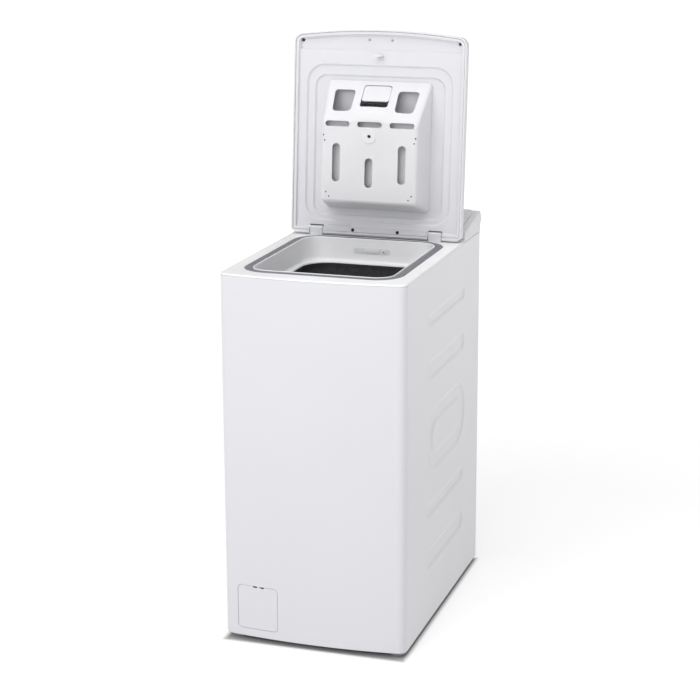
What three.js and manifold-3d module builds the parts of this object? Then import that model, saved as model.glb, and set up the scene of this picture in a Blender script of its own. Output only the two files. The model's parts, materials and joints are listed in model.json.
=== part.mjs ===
// A slim top-loading washing machine, standing with its lid open. Millimetres, +Z up.
// The front faces -Y, +X is to the right, and the origin is on the floor under the middle.
import * as THREE from 'three';
import { mergeVertices } from 'three/addons/utils/BufferGeometryUtils.js';
import { ConvexGeometry } from 'three/addons/geometries/ConvexGeometry.js';
import Module from 'manifold-3d';

const wasm = await Module();
wasm.setup();

// Driving dimensions of the cabinet
const HALF_WIDTH = 200;
const REACH = 311.5;            // the bowed front's foremost point and the rear rib, from the middle
const BOW_RADIUS = 1445;        // plan radius of the bowed front and of the lid's front edge
const CORNER = 18;              // plan radius of the front corners
const PANEL_REAR = 296;
const PANEL_BOTTOM = 12;
const PANEL_TOP = 796;
const DECK = 800;               // top surface around the loading well
const SHEET = 2;                // modelled thickness of the steel panels
const GAP = 0.3;                // clearance between touching pieces

// Loading well and seal
const WELL = { half: 151, front: -250, rear: 114, corner: 37, wall: 2.7, bottom: 745 };
const THROAT = { half: 141, front: -235, rear: 104, corner: 60 };
const SEAL_WIDTH = 17.4;
const SEAL_TOP = 801.3;

// Lid, drawn closed about its hinge line and then opened
const HINGE = { y: 141.6, z: 813 };
const LID_OPEN = THREE.MathUtils.degToRad(95);
const LID = { half: 198, apex: 446, rear: 7, rim: -9, top: 18, wall: 4, corner: 22 };
const FIELD = -1;               // underside of the liner's main field
const HINGE_ROLL = 11.7;        // radius of the lid's rolled rear edge about its hinge line
const HINGE_POCKET = { inner: 122, outer: 154, wall: -10.2 };
const HINGE_X = (HINGE_POCKET.inner + HINGE_POCKET.outer) / 2;
const HINGE_POST = { half: 14.5, front: 7.1, rear: 4.9, rise: 7, corner: 3, foot: 1.4 };
const HINGE_PIN = { radius: 2, bore: 2.3, half: 24 };

// Washing group: the drum turns on an X axis
const DRUM = { y: -60, z: 445, radius: 210, sheet: 1.6, half: 134, mouth: 29, mouthHalf: 92 };
const TUB = { radius: 228, wall: 5, half: 148, neckTop: 696.7 };
const NECK = { half: 126, front: -196, rear: 76, corner: 48, wall: 4 };
const BEARING = { radius: 26, bore: 12.5, from: 141, to: 155 };
const SHAFT_RADIUS = 12.2;
const PULLEY = { radius: 140, from: 160, to: 170 };
const MOTOR = { y: 150, z: 130, radius: 60, pulley: 11 };
const BELT = { gap: 1, thickness: 2.4 };

// Filter door at the foot of the front panel
const FILTER_DOOR = { left: -168, right: -77, bottom: 30.6, top: 126.6, corner: 9, gap: 0.7 };
const FILTER = { x: -122, z: 82, radius: 25 };

const X = new THREE.Vector3(1, 0, 0);
const Y = new THREE.Vector3(0, 1, 0);
const Z = new THREE.Vector3(0, 0, 1);
const rad = THREE.MathUtils.degToRad;

// ---------------------------------------------------------------- materials
const paint = (color, roughness, metalness = 0) =>
  new THREE.MeshStandardMaterial({ color, roughness, metalness });
const enamel = paint(0xe6e6e8, 0.32);
const whitePlastic = paint(0xe4e4e6, 0.42);
const linerPlastic = paint(0xdddde0, 0.45);
const greyPlastic = paint(0x9a9aa0, 0.5);
const greyRubber = paint(0x86868d, 0.7);
const blackRubber = paint(0x1b1b1e, 0.75);
const darkPlastic = paint(0x3a3a40, 0.5);
const tubPlastic = paint(0xb9bbbd, 0.6);
const stainless = paint(0xb8bcc0, 0.28, 1);
const steel = paint(0x8f9296, 0.4, 1);
const blackSteel = paint(0x16161a, 0.5, 0.6);
const concrete = paint(0x8c8a86, 0.9);
const glass = paint(0x101418, 0.1);
const board = paint(0x1f5a35, 0.6);

// ---------------------------------------------------------------- geometry helpers
function solid(geometry) {
  const bare = geometry.clone();
  bare.deleteAttribute('normal');
  bare.deleteAttribute('uv');
  const merged = mergeVertices(bare, 1e-4);
  return new wasm.Manifold(new wasm.Mesh({
    numProp: 3,
    vertProperties: merged.attributes.position.array,
    triVerts: new Uint32Array(merged.index.array),
  }));
}

function surface(manifold) {
  const mesh = manifold.getMesh();
  const geometry = new THREE.BufferGeometry();
  geometry.setAttribute('position', new THREE.BufferAttribute(mesh.vertProperties, 3));
  geometry.setIndex(new THREE.BufferAttribute(mesh.triVerts, 1));
  geometry.computeVertexNormals();
  return geometry;
}

function box(x0, x1, y0, y1, z0, z1) {
  const block = new THREE.BoxGeometry(x1 - x0, y1 - y0, z1 - z0);
  block.translate((x0 + x1) / 2, (y0 + y1) / 2, (z0 + z1) / 2);
  return solid(block);
}

// An outline extruded from a to b along the third axis of a frame
function slabIn(frame, shape, a, b, curveSegments = 3) {
  const block = new THREE.ExtrudeGeometry(shape, { depth: b - a, bevelEnabled: false, curveSegments });
  block.translate(0, 0, a);
  block.applyMatrix4(frame);
  return solid(block);
}
const alongZ = new THREE.Matrix4();
const alongX = new THREE.Matrix4().makeBasis(Y, Z, X);
const towardFront = new THREE.Matrix4().makeBasis(X, Z, Y.clone().negate());
const slab = (shape, z0, z1, segments) => slabIn(alongZ, shape, z0, z1, segments);
const slabX = (shape, x0, x1, segments) => slabIn(alongX, shape, x0, x1, segments);
const slabY = (shape, y0, y1, segments) => slabIn(towardFront, shape, -y1, -y0, segments);

function rodX(radius, x0, x1, y, z, sides = 20) {
  const rod = new THREE.CylinderGeometry(radius, radius, x1 - x0, sides);
  rod.rotateZ(-Math.PI / 2);
  rod.translate((x0 + x1) / 2, y, z);
  return solid(rod);
}

function rodY(radius, y0, y1, x, z, sides = 20) {
  const rod = new THREE.CylinderGeometry(radius, radius, y1 - y0, sides);
  rod.translate(x, (y0 + y1) / 2, z);
  return solid(rod);
}

function rodZ(radius, z0, z1, x, y, sides = 16) {
  const rod = new THREE.CylinderGeometry(radius, radius, z1 - z0, sides);
  rod.rotateX(Math.PI / 2);
  rod.translate(x, y, (z0 + z1) / 2);
  return solid(rod);
}

// A turned piece: its profile is a list of [radius, height] that starts and ends on the axis
function turned(profile, sides = 20) {
  const points = profile.map(([r, h]) => new THREE.Vector2(r, h));
  const piece = new THREE.LatheGeometry(points, sides);
  piece.rotateX(Math.PI / 2);
  return piece;
}

function polygon(points) {
  return new THREE.Shape(points.map(([u, v]) => new THREE.Vector2(u, v)));
}

function roundRect(u0, u1, v0, v1, r) {
  const shape = new THREE.Shape();
  shape.absarc(u1 - r, v0 + r, r, -Math.PI / 2, 0);
  shape.absarc(u1 - r, v1 - r, r, 0, Math.PI / 2);
  shape.absarc(u0 + r, v1 - r, r, Math.PI / 2, Math.PI);
  shape.absarc(u0 + r, v0 + r, r, Math.PI, Math.PI * 1.5);
  shape.closePath();
  return shape;
}

const rounded = (s, grow) => roundRect(
  -s.half - grow, s.half + grow, s.front - grow, s.rear + grow, s.corner + grow);

// A plan outline with a bowed front edge and rounded front corners
function bowedOutline({ half, apex, rear, corner, rearCorner = 0 }, inset = 0) {
  const bowCentre = BOW_RADIUS - apex;
  const cx = half - corner;
  const cy = bowCentre - Math.sqrt((BOW_RADIUS - corner) ** 2 - cx ** 2);
  const lean = Math.atan2(cx, bowCentre - cy);
  const right = lean - Math.PI / 2;
  const left = -lean - Math.PI / 2;
  const r = corner - inset;
  const back = rear - (rearCorner > 0 ? inset : 0);
  const shape = new THREE.Shape();
  shape.absarc(-cx, cy, r, -Math.PI, left);
  shape.absarc(0, bowCentre, BOW_RADIUS - inset, left, right);
  shape.absarc(cx, cy, r, right, 0);
  const q = Math.max(rearCorner - inset, 0);
  if (q > 0) {
    shape.absarc(half - inset - q, back - q, q, 0, Math.PI / 2);
    shape.absarc(inset + q - half, back - q, q, Math.PI / 2, Math.PI);
  } else {
    shape.lineTo(half - inset, back);
    shape.lineTo(inset - half, back);
  }
  shape.closePath();
  return shape;
}

const cabinetPlan = { half: HALF_WIDTH, apex: REACH, corner: CORNER, rear: PANEL_REAR };
const cabinet = (inset, rear) => bowedOutline({ ...cabinetPlan, rear }, inset);

const machine = new THREE.Group();

function put(name, shape, material, parent = machine) {
  const geometry = shape.isBufferGeometry ? shape : surface(shape);
  const mesh = new THREE.Mesh(geometry, material);
  mesh.name = name;
  parent.add(mesh);
  return mesh;
}

// ---------------------------------------------------------------- cabinet
const FRONT_SEAM = -282;        // where the front panel's corners meet the side panels

function frontPanel() {
  const wrap = slab(cabinet(0, 0), PANEL_BOTTOM, PANEL_TOP)
    .subtract(slab(cabinet(SHEET, 0), PANEL_BOTTOM - 1, PANEL_TOP + 1))
    .intersect(box(-HALF_WIDTH - 1, HALF_WIDTH + 1, -REACH - 1, FRONT_SEAM, 0, DECK));
  const d = FILTER_DOOR;
  const doorway = slabY(roundRect(
    d.left - d.gap, d.right + d.gap, d.bottom - d.gap, d.top + d.gap, d.corner + d.gap), -REACH - 5, -280);
  return wrap.subtract(doorway);
}

// Pressed stiffening shapes of a side panel, as [front, rear, bottom, top]
const PRESSINGS = [
  [-131, 167, 671, 700],
  [-131, 167, 554, 597],
  [-131, 167, 249, 280],
  [-131, 167, 132, 176],
];
const LOOP = [-131, 175, 345, 490];
const LOOP_BAND = 30;
const PRESS_DEPTH = 1.2;

function sidePanel(side) {
  const sheetIn = HALF_WIDTH - SHEET;
  const flange = box(
    180, HALF_WIDTH - 0.5, PANEL_REAR - 1.7, PANEL_REAR, PANEL_BOTTOM + 8, PANEL_TOP - 8);
  let panel = box(sheetIn, HALF_WIDTH, FRONT_SEAM + GAP, PANEL_REAR, PANEL_BOTTOM, PANEL_TOP).add(flange);
  const press = shape => slabX(shape, HALF_WIDTH - PRESS_DEPTH, HALF_WIDTH + 1);
  for (const [front, rear, bottom, top] of PRESSINGS) {
    panel = panel.subtract(press(roundRect(front, rear, bottom, top, (top - bottom) / 2 - 0.1)));
  }
  const [front, rear, bottom, top] = LOOP;
  const outer = (top - bottom) / 2 - 0.1;
  const loop = press(roundRect(front, rear, bottom, top, outer)).subtract(press(roundRect(
    front + LOOP_BAND, rear - LOOP_BAND, bottom + LOOP_BAND, top - LOOP_BAND, outer - LOOP_BAND)));
  panel = panel.subtract(loop);
  return side > 0 ? panel : panel.mirror([1, 0, 0]);
}

function rearPanel() {
  const sheet = box(-199, 199, PANEL_REAR + GAP, PANEL_REAR + 2, 20, 790);
  const inlet = rodY(15, 290, 305, 150, 740);
  const gland = rodY(9, 290, 305, -150, 700);
  const drain = rodY(13, 290, 305, 150, 640);
  return sheet.subtract(inlet).subtract(gland).subtract(drain);
}

function baseFrame() {
  return slab(cabinet(4, 290), 14, 46).subtract(slab(cabinet(8, 286), 17, 50));
}

const FOOT = { x: 176, y: 268, pad: 18 };

function foot() {
  const top = 14 - GAP;
  return turned([[0, 0], [FOOT.pad, 0], [FOOT.pad, 6], [15, 8.5], [8, 8.5], [8, top], [0, top]], 16);
}

put('front_panel', frontPanel(), enamel);
put('side_panel_right', sidePanel(1), enamel);
put('side_panel_left', sidePanel(-1), enamel);
put('rear_panel', rearPanel(), steel);
put('base_frame', baseFrame(), steel);
for (const [name, x, y] of [['front_left', -1, -1], ['front_right', 1, -1], ['rear_left', -1, 1],
  ['rear_right', 1, 1]]) {
  put(`foot_${name}`, foot(), greyPlastic).position.set(x * FOOT.x, y * FOOT.y, 0);
}

// ---------------------------------------------------------------- top frame, well and seal
const FRAME_REAR = 150;
const SEAL_FLOOR = 795;

function topFrame() {
  const lip = slab(cabinet(0, FRAME_REAR), PANEL_TOP + GAP, DECK);
  const plate = slab(cabinet(SHEET + GAP, FRAME_REAR), 789, DECK);
  const wall = slab(rounded(WELL, WELL.wall), WELL.bottom, DECK + 0.5);
  const hollow = slab(rounded(WELL, 0), WELL.bottom + 3, DECK + 5);
  const groove = slab(rounded(WELL, WELL.wall + SEAL_WIDTH + 2 * GAP), SEAL_FLOOR, DECK + 5);
  const throat = slab(rounded(THROAT, 0), WELL.bottom - 5, DECK + 5);
  const slot = box(-12, 12, WELL.front - 20, WELL.front + 1, 779, 793);
  return lip.add(plate).subtract(groove).add(wall).subtract(hollow).subtract(throat).subtract(slot);
}

function lidSeal() {
  const inner = WELL.wall + GAP;
  const outer = inner + SEAL_WIDTH;
  const bead = 3;
  const foot = slab(rounded(WELL, outer), SEAL_FLOOR + GAP, SEAL_TOP - 2)
    .subtract(slab(rounded(WELL, inner), SEAL_FLOOR - 1, SEAL_TOP + 1));
  const crown = slab(rounded(WELL, outer - bead), SEAL_TOP - 3, SEAL_TOP)
    .subtract(slab(rounded(WELL, inner + bead), SEAL_FLOOR - 1, SEAL_TOP + 1));
  return foot.add(crown);
}

function wellClip() {
  const back = WELL.rear - GAP;
  const bar = slabY(roundRect(-43, 43, 768, 781, 6.4), back - 3, back);
  const grip = slabY(roundRect(-20, 20, 771, 778, 3.4), back - 6, back);
  const cut = slabY(roundRect(-19, 19, 772.5, 776.5, 1.9), back - 7, back - 4);
  return bar.add(grip).subtract(cut);
}

function lidLock() {
  const y1 = WELL.front - WELL.wall - GAP;
  const housing = box(-35, 35, y1 - 32, y1, 758, 788);
  const bolt = box(-11, 11, y1 - 4, WELL.front - 0.5, 780, 787);
  return housing.add(bolt);
}

function ringPoints(s, grow, z) {
  return rounded(s, grow).getPoints(3).map(p => new THREE.Vector3(p.x, p.y, z));
}

function bellows() {
  const top = WELL.bottom - GAP;
  const bottom = TUB.neckTop + GAP;
  const skin = (grow, z0, z1) => solid(new ConvexGeometry([
    ...ringPoints(THROAT, grow, z1), ...ringPoints(NECK, grow, z0)]));
  return skin(4, bottom, top).subtract(skin(0, bottom - 0.01, top + 0.01));
}

put('top_frame', topFrame(), whitePlastic);
put('lid_seal', lidSeal(), greyRubber);
put('well_clip', wellClip(), whitePlastic);
put('lid_lock', lidLock(), darkPlastic);
put('bellows', bellows(), blackRubber);

// ---------------------------------------------------------------- console and controls
const CONSOLE_FRONT = 190;
const CONSOLE_REAR = 296;
const CONSOLE_LOW = 823;
const CONSOLE_HIGH = 845;
const CONSOLE_TILT = Math.atan2(CONSOLE_HIGH - CONSOLE_LOW, CONSOLE_REAR - CONSOLE_FRONT);

function consoleHousing() {
  const bottom = PANEL_TOP + GAP;
  const outer = polygon([[FRAME_REAR + GAP, bottom], [300.5, bottom], [300.5, 812], [REACH, 821],
    [REACH - 2, 827], [CONSOLE_REAR + 6, 843], [CONSOLE_REAR, CONSOLE_HIGH], [CONSOLE_FRONT, CONSOLE_LOW],
    [175, 819.5], [170, 815], [166, DECK], [FRAME_REAR + GAP, DECK]]);
  const inner = polygon([[171, bottom - 1], [297.5, bottom - 1], [297.5, 813], [REACH - 4, 822],
    [CONSOLE_REAR + 2, 840], [CONSOLE_REAR, 841], [CONSOLE_FRONT, CONSOLE_LOW - 4], [177, 815]]);
  const wall = 2.5;
  return slabX(outer, -HALF_WIDTH, HALF_WIDTH).subtract(slabX(inner, wall - HALF_WIDTH, HALF_WIDTH - wall));
}

const consoleDeck = new THREE.Group();
consoleDeck.position.set(0, CONSOLE_FRONT, CONSOLE_LOW);
consoleDeck.rotation.x = CONSOLE_TILT;
machine.add(consoleDeck);

const FASCIA_TOP = 6.3;
const KNOB = { x: 110, y: 52, radius: 20 };
const BUTTONS = [-40, -8, 24];
const BUTTON = { y: 52, halfX: 10, halfY: 5 };
const DISPLAY = [-160, -75, 34, 70];

function fascia() {
  const [x0, x1, y0, y1] = DISPLAY;
  let plate = slab(roundRect(-186, 186, 8, 98, 8), GAP, FASCIA_TOP)
    .subtract(rodZ(6, 0, 10, KNOB.x, KNOB.y))
    .subtract(box(x0 - GAP, x1 + GAP, y0 - GAP, y1 + GAP, 4, 10));
  for (const x of BUTTONS) {
    plate = plate.subtract(box(x - BUTTON.halfX - 0.5, x + BUTTON.halfX + 0.5,
      BUTTON.y - BUTTON.halfY - 0.5, BUTTON.y + BUTTON.halfY + 0.5, 0, 10));
  }
  return plate;
}

function knob() {
  const r = KNOB.radius;
  return turned([[0, 0.8], [5, 0.8], [5, 7], [r, 7], [r, 12], [r - 3, 22], [r - 5, 23], [0, 23]], 24);
}

put('console_housing', consoleHousing(), whitePlastic);
put('control_fascia', fascia(), whitePlastic, consoleDeck);
put('display_window', box(...DISPLAY, 4.3, FASCIA_TOP), glass, consoleDeck);
put('programme_knob', knob(), greyPlastic, consoleDeck).position.set(KNOB.x, KNOB.y, 0);
BUTTONS.forEach((x, i) => put(`button_${i + 1}`, slab(roundRect(
  -BUTTON.halfX, BUTTON.halfX, -BUTTON.halfY, BUTTON.halfY, 2), 2.6, 8.6, 3), greyPlastic, consoleDeck)
  .position.set(x, BUTTON.y, 0));
put('control_board', box(-150, 150, 200, 290, 804, 807), board);

// ---------------------------------------------------------------- lid
const lid = new THREE.Group();
lid.position.set(0, HINGE.y, HINGE.z);
lid.rotation.x = -LID_OPEN;
machine.add(lid);

const lidPlan = inset => bowedOutline({ ...LID, rearCorner: 8 }, inset);

function hingePockets(reach) {
  const { inner, outer, wall } = HINGE_POCKET;
  return box(inner, outer, wall, HINGE_ROLL + 1, LID.rim - reach, 9)
    .add(box(-outer, -inner, wall, HINGE_ROLL + 1, LID.rim - reach, 9));
}

function lidShell() {
  const straight = LID.half - 8;
  const roll = rodX(HINGE_ROLL, -straight, straight, 0, 0, 40)
    .intersect(box(-straight, straight, LID.rear - LID.wall, HINGE_ROLL + 1, LID.rim, -LID.rim));
  return slab(lidPlan(0), LID.rim, LID.top)
    .subtract(slab(lidPlan(LID.wall), LID.rim - 1, LID.top - 3))
    .add(roll)
    .subtract(hingePockets(1));
}

// The liner's outlines step deeper towards the dispenser; s runs from the lid's rear edge
const along = s => LID.rear - s;
const FRONT_STEP = 406;
const RECESSES = [
  { half: 165, from: 30, to: 372, corner: 38, depth: 4 },
  { half: 147, from: 42, to: 349, corner: 24, depth: 8 },
];

function lidLiner() {
  const plate = 3;
  const inside = slab(lidPlan(LID.wall + GAP), FIELD - 8, LID.top - 3 - GAP);
  const frontBand = box(-200, 200, -LID.apex, along(FRONT_STEP), FIELD - 1, FIELD + 4);
  const outline = (r, grow) => roundRect(
    -r.half - grow, r.half + grow, along(r.to) - grow, along(r.from) + grow, r.corner + grow);
  let liner = slab(lidPlan(LID.wall + GAP), FIELD, FIELD + plate)
    .add(box(-200, 200, -LID.apex, along(FRONT_STEP) + plate, FIELD, FIELD + 4 + plate).intersect(inside));
  for (const r of RECESSES) {
    liner = liner.add(slab(outline(r, plate), FIELD, FIELD + r.depth + plate));
  }
  for (const r of RECESSES) {
    liner = liner.subtract(slab(outline(r, 0), FIELD - 1, FIELD + r.depth));
  }
  liner = liner.subtract(frontBand);
  const { inner, outer } = HINGE_POCKET;
  const lug = 7;
  for (const [x0, x1] of [[inner - lug, inner], [outer, outer + lug],
    [-inner, lug - inner], [-outer - lug, -outer]]) {
    liner = liner.add(box(x0, x1, -8, LID.rear - LID.wall - GAP, -5, FIELD + 7));
  }
  liner = liner.subtract(hingePockets(1));
  for (const side of [-1, 1]) {
    const x = side * HINGE_X;
    liner = liner.subtract(rodX(HINGE_PIN.bore, x - HINGE_PIN.half - 2, x + HINGE_PIN.half + 2, 0, 0, 12));
  }
  for (const [x, s] of SCREWS) {
    const seat = s > FRONT_STEP ? FIELD + 4 : FIELD;
    liner = liner.subtract(rodZ(3.6, FIELD - 1, seat + 1.5, x, along(s), 12));
  }
  return liner;
}

// Screws that hold the liner, as [x, distance from the lid's rear edge]
const SCREWS = [[-180, 426], [180, 426], [-52, 9], [52, 9]];

function screw(name, x, s) {
  const seat = (s > FRONT_STEP ? FIELD + 4 : FIELD) + 1.5 - GAP;
  const head = turned([[0, -2], [2, -2], [3.2, -1], [3.2, 0], [0, 0]], 12);
  put(name, head, blackSteel, lid).position.set(x, along(s), seat);
}

function lidLatch() {
  const y = along(396);
  const blade = box(-8, 8, y - 2, y + 2, -23, FIELD - GAP);
  const window = box(-5, 5, y - 3, y + 3, -19, -12);
  return blade.subtract(window);
}

put('lid_shell', lidShell(), whitePlastic, lid);
put('lid_liner', lidLiner(), linerPlastic, lid);
put('lid_latch', lidLatch(), whitePlastic, lid);
['front_left', 'front_right', 'rear_left', 'rear_right'].forEach((corner, i) =>
  screw(`lid_screw_${corner}`, ...SCREWS[i]));

// Each hinge is a post on the deck with a pin through it, seated in the liner's lugs
function hingePost(x) {
  const { half, front, rear, rise, corner, foot: thick } = HINGE_POST;
  const { y, z } = HINGE;
  return slabX(roundRect(y - front, y + rear, DECK - 9, z + rise, corner), x - half, x + half)
    .intersect(box(-HALF_WIDTH, HALF_WIDTH, y - 40, y + 40, DECK + GAP, z + 40))
    .add(box(x - half, x + half, y - front, y + rear + 3, DECK + GAP, DECK + thick))
    .subtract(rodX(HINGE_PIN.bore, x - half - 1, x + half + 1, y, z, 12));
}

for (const [name, side] of [['left', -1], ['right', 1]]) {
  const x = side * HINGE_X;
  put(`hinge_bracket_${name}`, hingePost(x), whitePlastic);
  const pin = rodX(HINGE_PIN.radius, x - HINGE_PIN.half, x + HINGE_PIN.half, 0, 0, 12);
  put(`hinge_pin_${name}`, pin, steel, lid);
}

// ---------------------------------------------------------------- detergent dispenser on the lid
const TRAY = { wall: 2.2, baseHalf: 119.5, faceHalf: 109, back: FIELD + 8 - GAP, face: -67 };
const SLOPE_TOP = { y: along(338), z: 3 };
const SLOPE_END = { y: along(252), z: TRAY.face };
const SLOPE_LENGTH = Math.hypot(SLOPE_END.y - SLOPE_TOP.y, SLOPE_END.z - SLOPE_TOP.z);
const slopeDown = new THREE.Vector3(0, SLOPE_END.y - SLOPE_TOP.y, SLOPE_END.z - SLOPE_TOP.z).normalize();
const slopeIn = new THREE.Vector3().crossVectors(X, slopeDown);
const slopeFrame = new THREE.Matrix4().makeBasis(X, slopeDown, slopeIn)
  .setPosition(0, SLOPE_TOP.y, SLOPE_TOP.z);

function trayBlock(inset, back) {
  const t = (SLOPE_END.y - SLOPE_TOP.y) / SLOPE_LENGTH;
  const shift = inset / t;
  const profile = polygon([[along(340) + inset, back], [SLOPE_TOP.y + inset * 0.6, SLOPE_TOP.z + inset],
    [SLOPE_END.y + shift * 0.4, TRAY.face + inset], [along(76) - inset, TRAY.face + inset],
    [along(56) - inset, back]]);
  const corners = (half, z, grow) => {
    const shape = roundRect(-half + inset, half - inset, along(340) + inset, along(56) - inset, 10);
    return shape.getPoints(2).map(p => new THREE.Vector3(p.x, p.y, z + grow));
  };
  const body = solid(new ConvexGeometry([
    ...corners(TRAY.baseHalf, back, 0), ...corners(TRAY.faceHalf, TRAY.face + inset, 0)]));
  return body.intersect(slabX(profile, -130, 130));
}

const WINDOW = { top: 23, bottom: 82, inner: 49, outerTop: 97.5, outerBottom: 92.5 };
const HATCH = { half: 32, top: 9, bottom: 71, hinge: 1.6, end: 53, side: 0.6 };
const FACE_SLOTS = [
  [-73.5, 248, 28, 6], [0, 248, 28, 6], [73.5, 248, 28, 6],
  [-75, 163, 9, 42], [0, 143, 9, 32], [75, 163, 9, 42],
];
const BOSS = { s: 222.5, radius: 16 };

function dispenserTray() {
  let tray = trayBlock(0, TRAY.back).subtract(trayBlock(TRAY.wall, TRAY.back + 0.01));
  for (const side of [-1, 1]) {
    const divider = box(side * 39 - 1, side * 39 + 1, along(339), along(57), TRAY.face, TRAY.back)
      .intersect(trayBlock(0.5, TRAY.back));
    const w = WINDOW;
    const shape = side > 0
      ? polygon([[w.inner, w.top], [w.outerTop, w.top],
        [w.outerBottom, w.bottom], [w.inner + 1, w.bottom]])
      : polygon([[-w.outerTop, w.top], [-w.inner, w.top],
        [-w.inner - 1, w.bottom], [-w.outerBottom, w.bottom]]);
    tray = tray.add(divider).subtract(slabIn(slopeFrame, shape, -10, 10));
  }
  const hatchway = roundRect(-HATCH.half, HATCH.half, HATCH.top, HATCH.bottom, 6);
  tray = tray.subtract(slabIn(slopeFrame, hatchway, -10, 10));
  for (const [x, s, halfX, halfS] of FACE_SLOTS) {
    const r = Math.min(halfX, halfS) - 0.1;
    const slot = roundRect(x - halfX, x + halfX, along(s) - halfS, along(s) + halfS, r);
    tray = tray.subtract(slab(slot, TRAY.face - 5, TRAY.face + 5));
  }
  const boss = rodZ(BOSS.radius, TRAY.face - 1.5, TRAY.face + 3, 0, along(BOSS.s), 20);
  const bore = rodZ(4, TRAY.face - 3, TRAY.face + 1.3, 0, along(BOSS.s), 8);
  return tray.add(boss).subtract(bore);
}

// The softener hatch hangs from the top edge of its opening in the sloping face
const dispenserSlope = new THREE.Group();
slopeFrame.decompose(dispenserSlope.position, dispenserSlope.quaternion, dispenserSlope.scale);
lid.add(dispenserSlope);

function softenerHatch() {
  const half = HATCH.half - HATCH.side;
  return slab(roundRect(-half, half, HATCH.top + HATCH.hinge, HATCH.end, 6), -0.6, 1.4);
}

function siphonComb() {
  const z0 = TRAY.back - 5;
  let comb = box(-30, 30, along(290), along(286), -28, z0);
  for (let x = -26; x <= 22; x += 8) {
    comb = comb.subtract(box(x, x + 4, along(291), along(285), -29, -20));
  }
  return comb;
}

put('dispenser_tray', dispenserTray(), whitePlastic, lid);
put('softener_hatch', softenerHatch(), whitePlastic, dispenserSlope);
put('siphon_comb', siphonComb(), darkPlastic, lid);

// ---------------------------------------------------------------- filter door and drain pump
function filterDoor() {
  const d = FILTER_DOOR;
  const plate = slab(cabinet(0, 0), d.bottom, d.top).subtract(slab(cabinet(SHEET, 0), 0, 200))
    .intersect(slabY(roundRect(d.left, d.right, d.bottom, d.top, d.corner), -REACH - 5, -280));
  const slots = [-128, -112].map(x => box(x - 4, x + 4, -REACH, -290, d.top - 3, d.top + 1));
  return slots.reduce((door, slot) => door.subtract(slot), plate);
}

const PUMP_FRONT = -284;

function filterKnob() {
  const disc = rodY(FILTER.radius, PUMP_FRONT - 9, PUMP_FRONT - GAP, FILTER.x, FILTER.z);
  const grip = box(FILTER.x - 20, FILTER.x + 20, PUMP_FRONT - 16, PUMP_FRONT - 8, FILTER.z - 4, FILTER.z + 4);
  return disc.add(grip);
}

function drainPump() {
  const barrel = rodY(30, PUMP_FRONT, -205, FILTER.x, FILTER.z);
  const bore = rodY(22, PUMP_FRONT - 1, -225, FILTER.x, FILTER.z);
  const motor = rodY(24, -206, -150, FILTER.x, FILTER.z);
  const standLeg = box(FILTER.x - 25, FILTER.x + 25, -275, -160, 17 + GAP, FILTER.z - 20).subtract(bore);
  const inlet = rodZ(14, FILTER.z, FILTER.z + 50, FILTER.x, -240);
  return barrel.add(motor).add(standLeg).add(inlet).subtract(bore);
}

put('filter_door', filterDoor(), whitePlastic);
put('pump_filter_knob', filterKnob(), greyPlastic);
put('drain_pump', drainPump(), darkPlastic);

// ---------------------------------------------------------------- tub
const TUB_SIDES = 40;
const DAMPER = { x: 118, y: 40, top: 224.7 };

function tubHalf(side) {
  const { y, z } = DRUM;
  const hub = rodX(38, 140, 156, y, z);
  const lug = box(DAMPER.x - 11, DAMPER.x + 11, DAMPER.y - 10, DAMPER.y + 10, DAMPER.top + GAP, 245);
  const half = rodX(TUB.radius, 0.15, TUB.half, y, z, TUB_SIDES)
    .add(slab(rounded(NECK, NECK.wall), z + 100, TUB.neckTop).intersect(box(0.15, 200, -400, 400, 0, 900)))
    .add(lug)
    .subtract(rodX(TUB.radius - TUB.wall, -1, TUB.half - TUB.wall, y, z, TUB_SIDES))
    .subtract(slab(rounded(NECK, 0), z + 100, TUB.neckTop + 1))
    .add(hub)
    .subtract(rodX(BEARING.radius + GAP, 130, 170, y, z));
  return side > 0 ? half : half.mirror([1, 0, 0]);
}

function damper() {
  return turned([[0, 0], [12, 0], [12, 110], [5, 112], [5, 185], [9, 187],
    [9, DAMPER.top - 17 - GAP], [0, DAMPER.top - 17 - GAP]], 14);
}

function sector(inner, outer, from, to) {
  const shape = new THREE.Shape();
  shape.absarc(DRUM.y, DRUM.z, outer, rad(from), rad(to));
  shape.absarc(DRUM.y, DRUM.z, inner, rad(to), rad(from), true);
  shape.closePath();
  return shape;
}

put('tub_right', tubHalf(1), tubPlastic);
put('tub_left', tubHalf(-1), tubPlastic);
put('counterweight', slabX(sector(TUB.radius + GAP, 285, -20, 42), -100, 100, 8), concrete);
for (const [name, side] of [['left', -1], ['right', 1]]) {
  put(`damper_${name}`, damper(), darkPlastic).position.set(side * DAMPER.x, DAMPER.y, 17 + GAP);
}

// ---------------------------------------------------------------- drum and its flaps
const MOUTH_UP = 90;            // direction of the drum's mouth in its end view, in degrees
const DRUM_SIDES = 40;
// The flaps swing inwards, about barrels just inside the drum's wall, and part along its middle
const FLAP_HINGE = { radius: 206.5, angle: 27.6, barrel: 3.2, pin: 1.5, half: 86 };
const FLAP = { meeting: 1.1, edge: 28.4 };      // angles from the mouth's middle, in degrees

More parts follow.
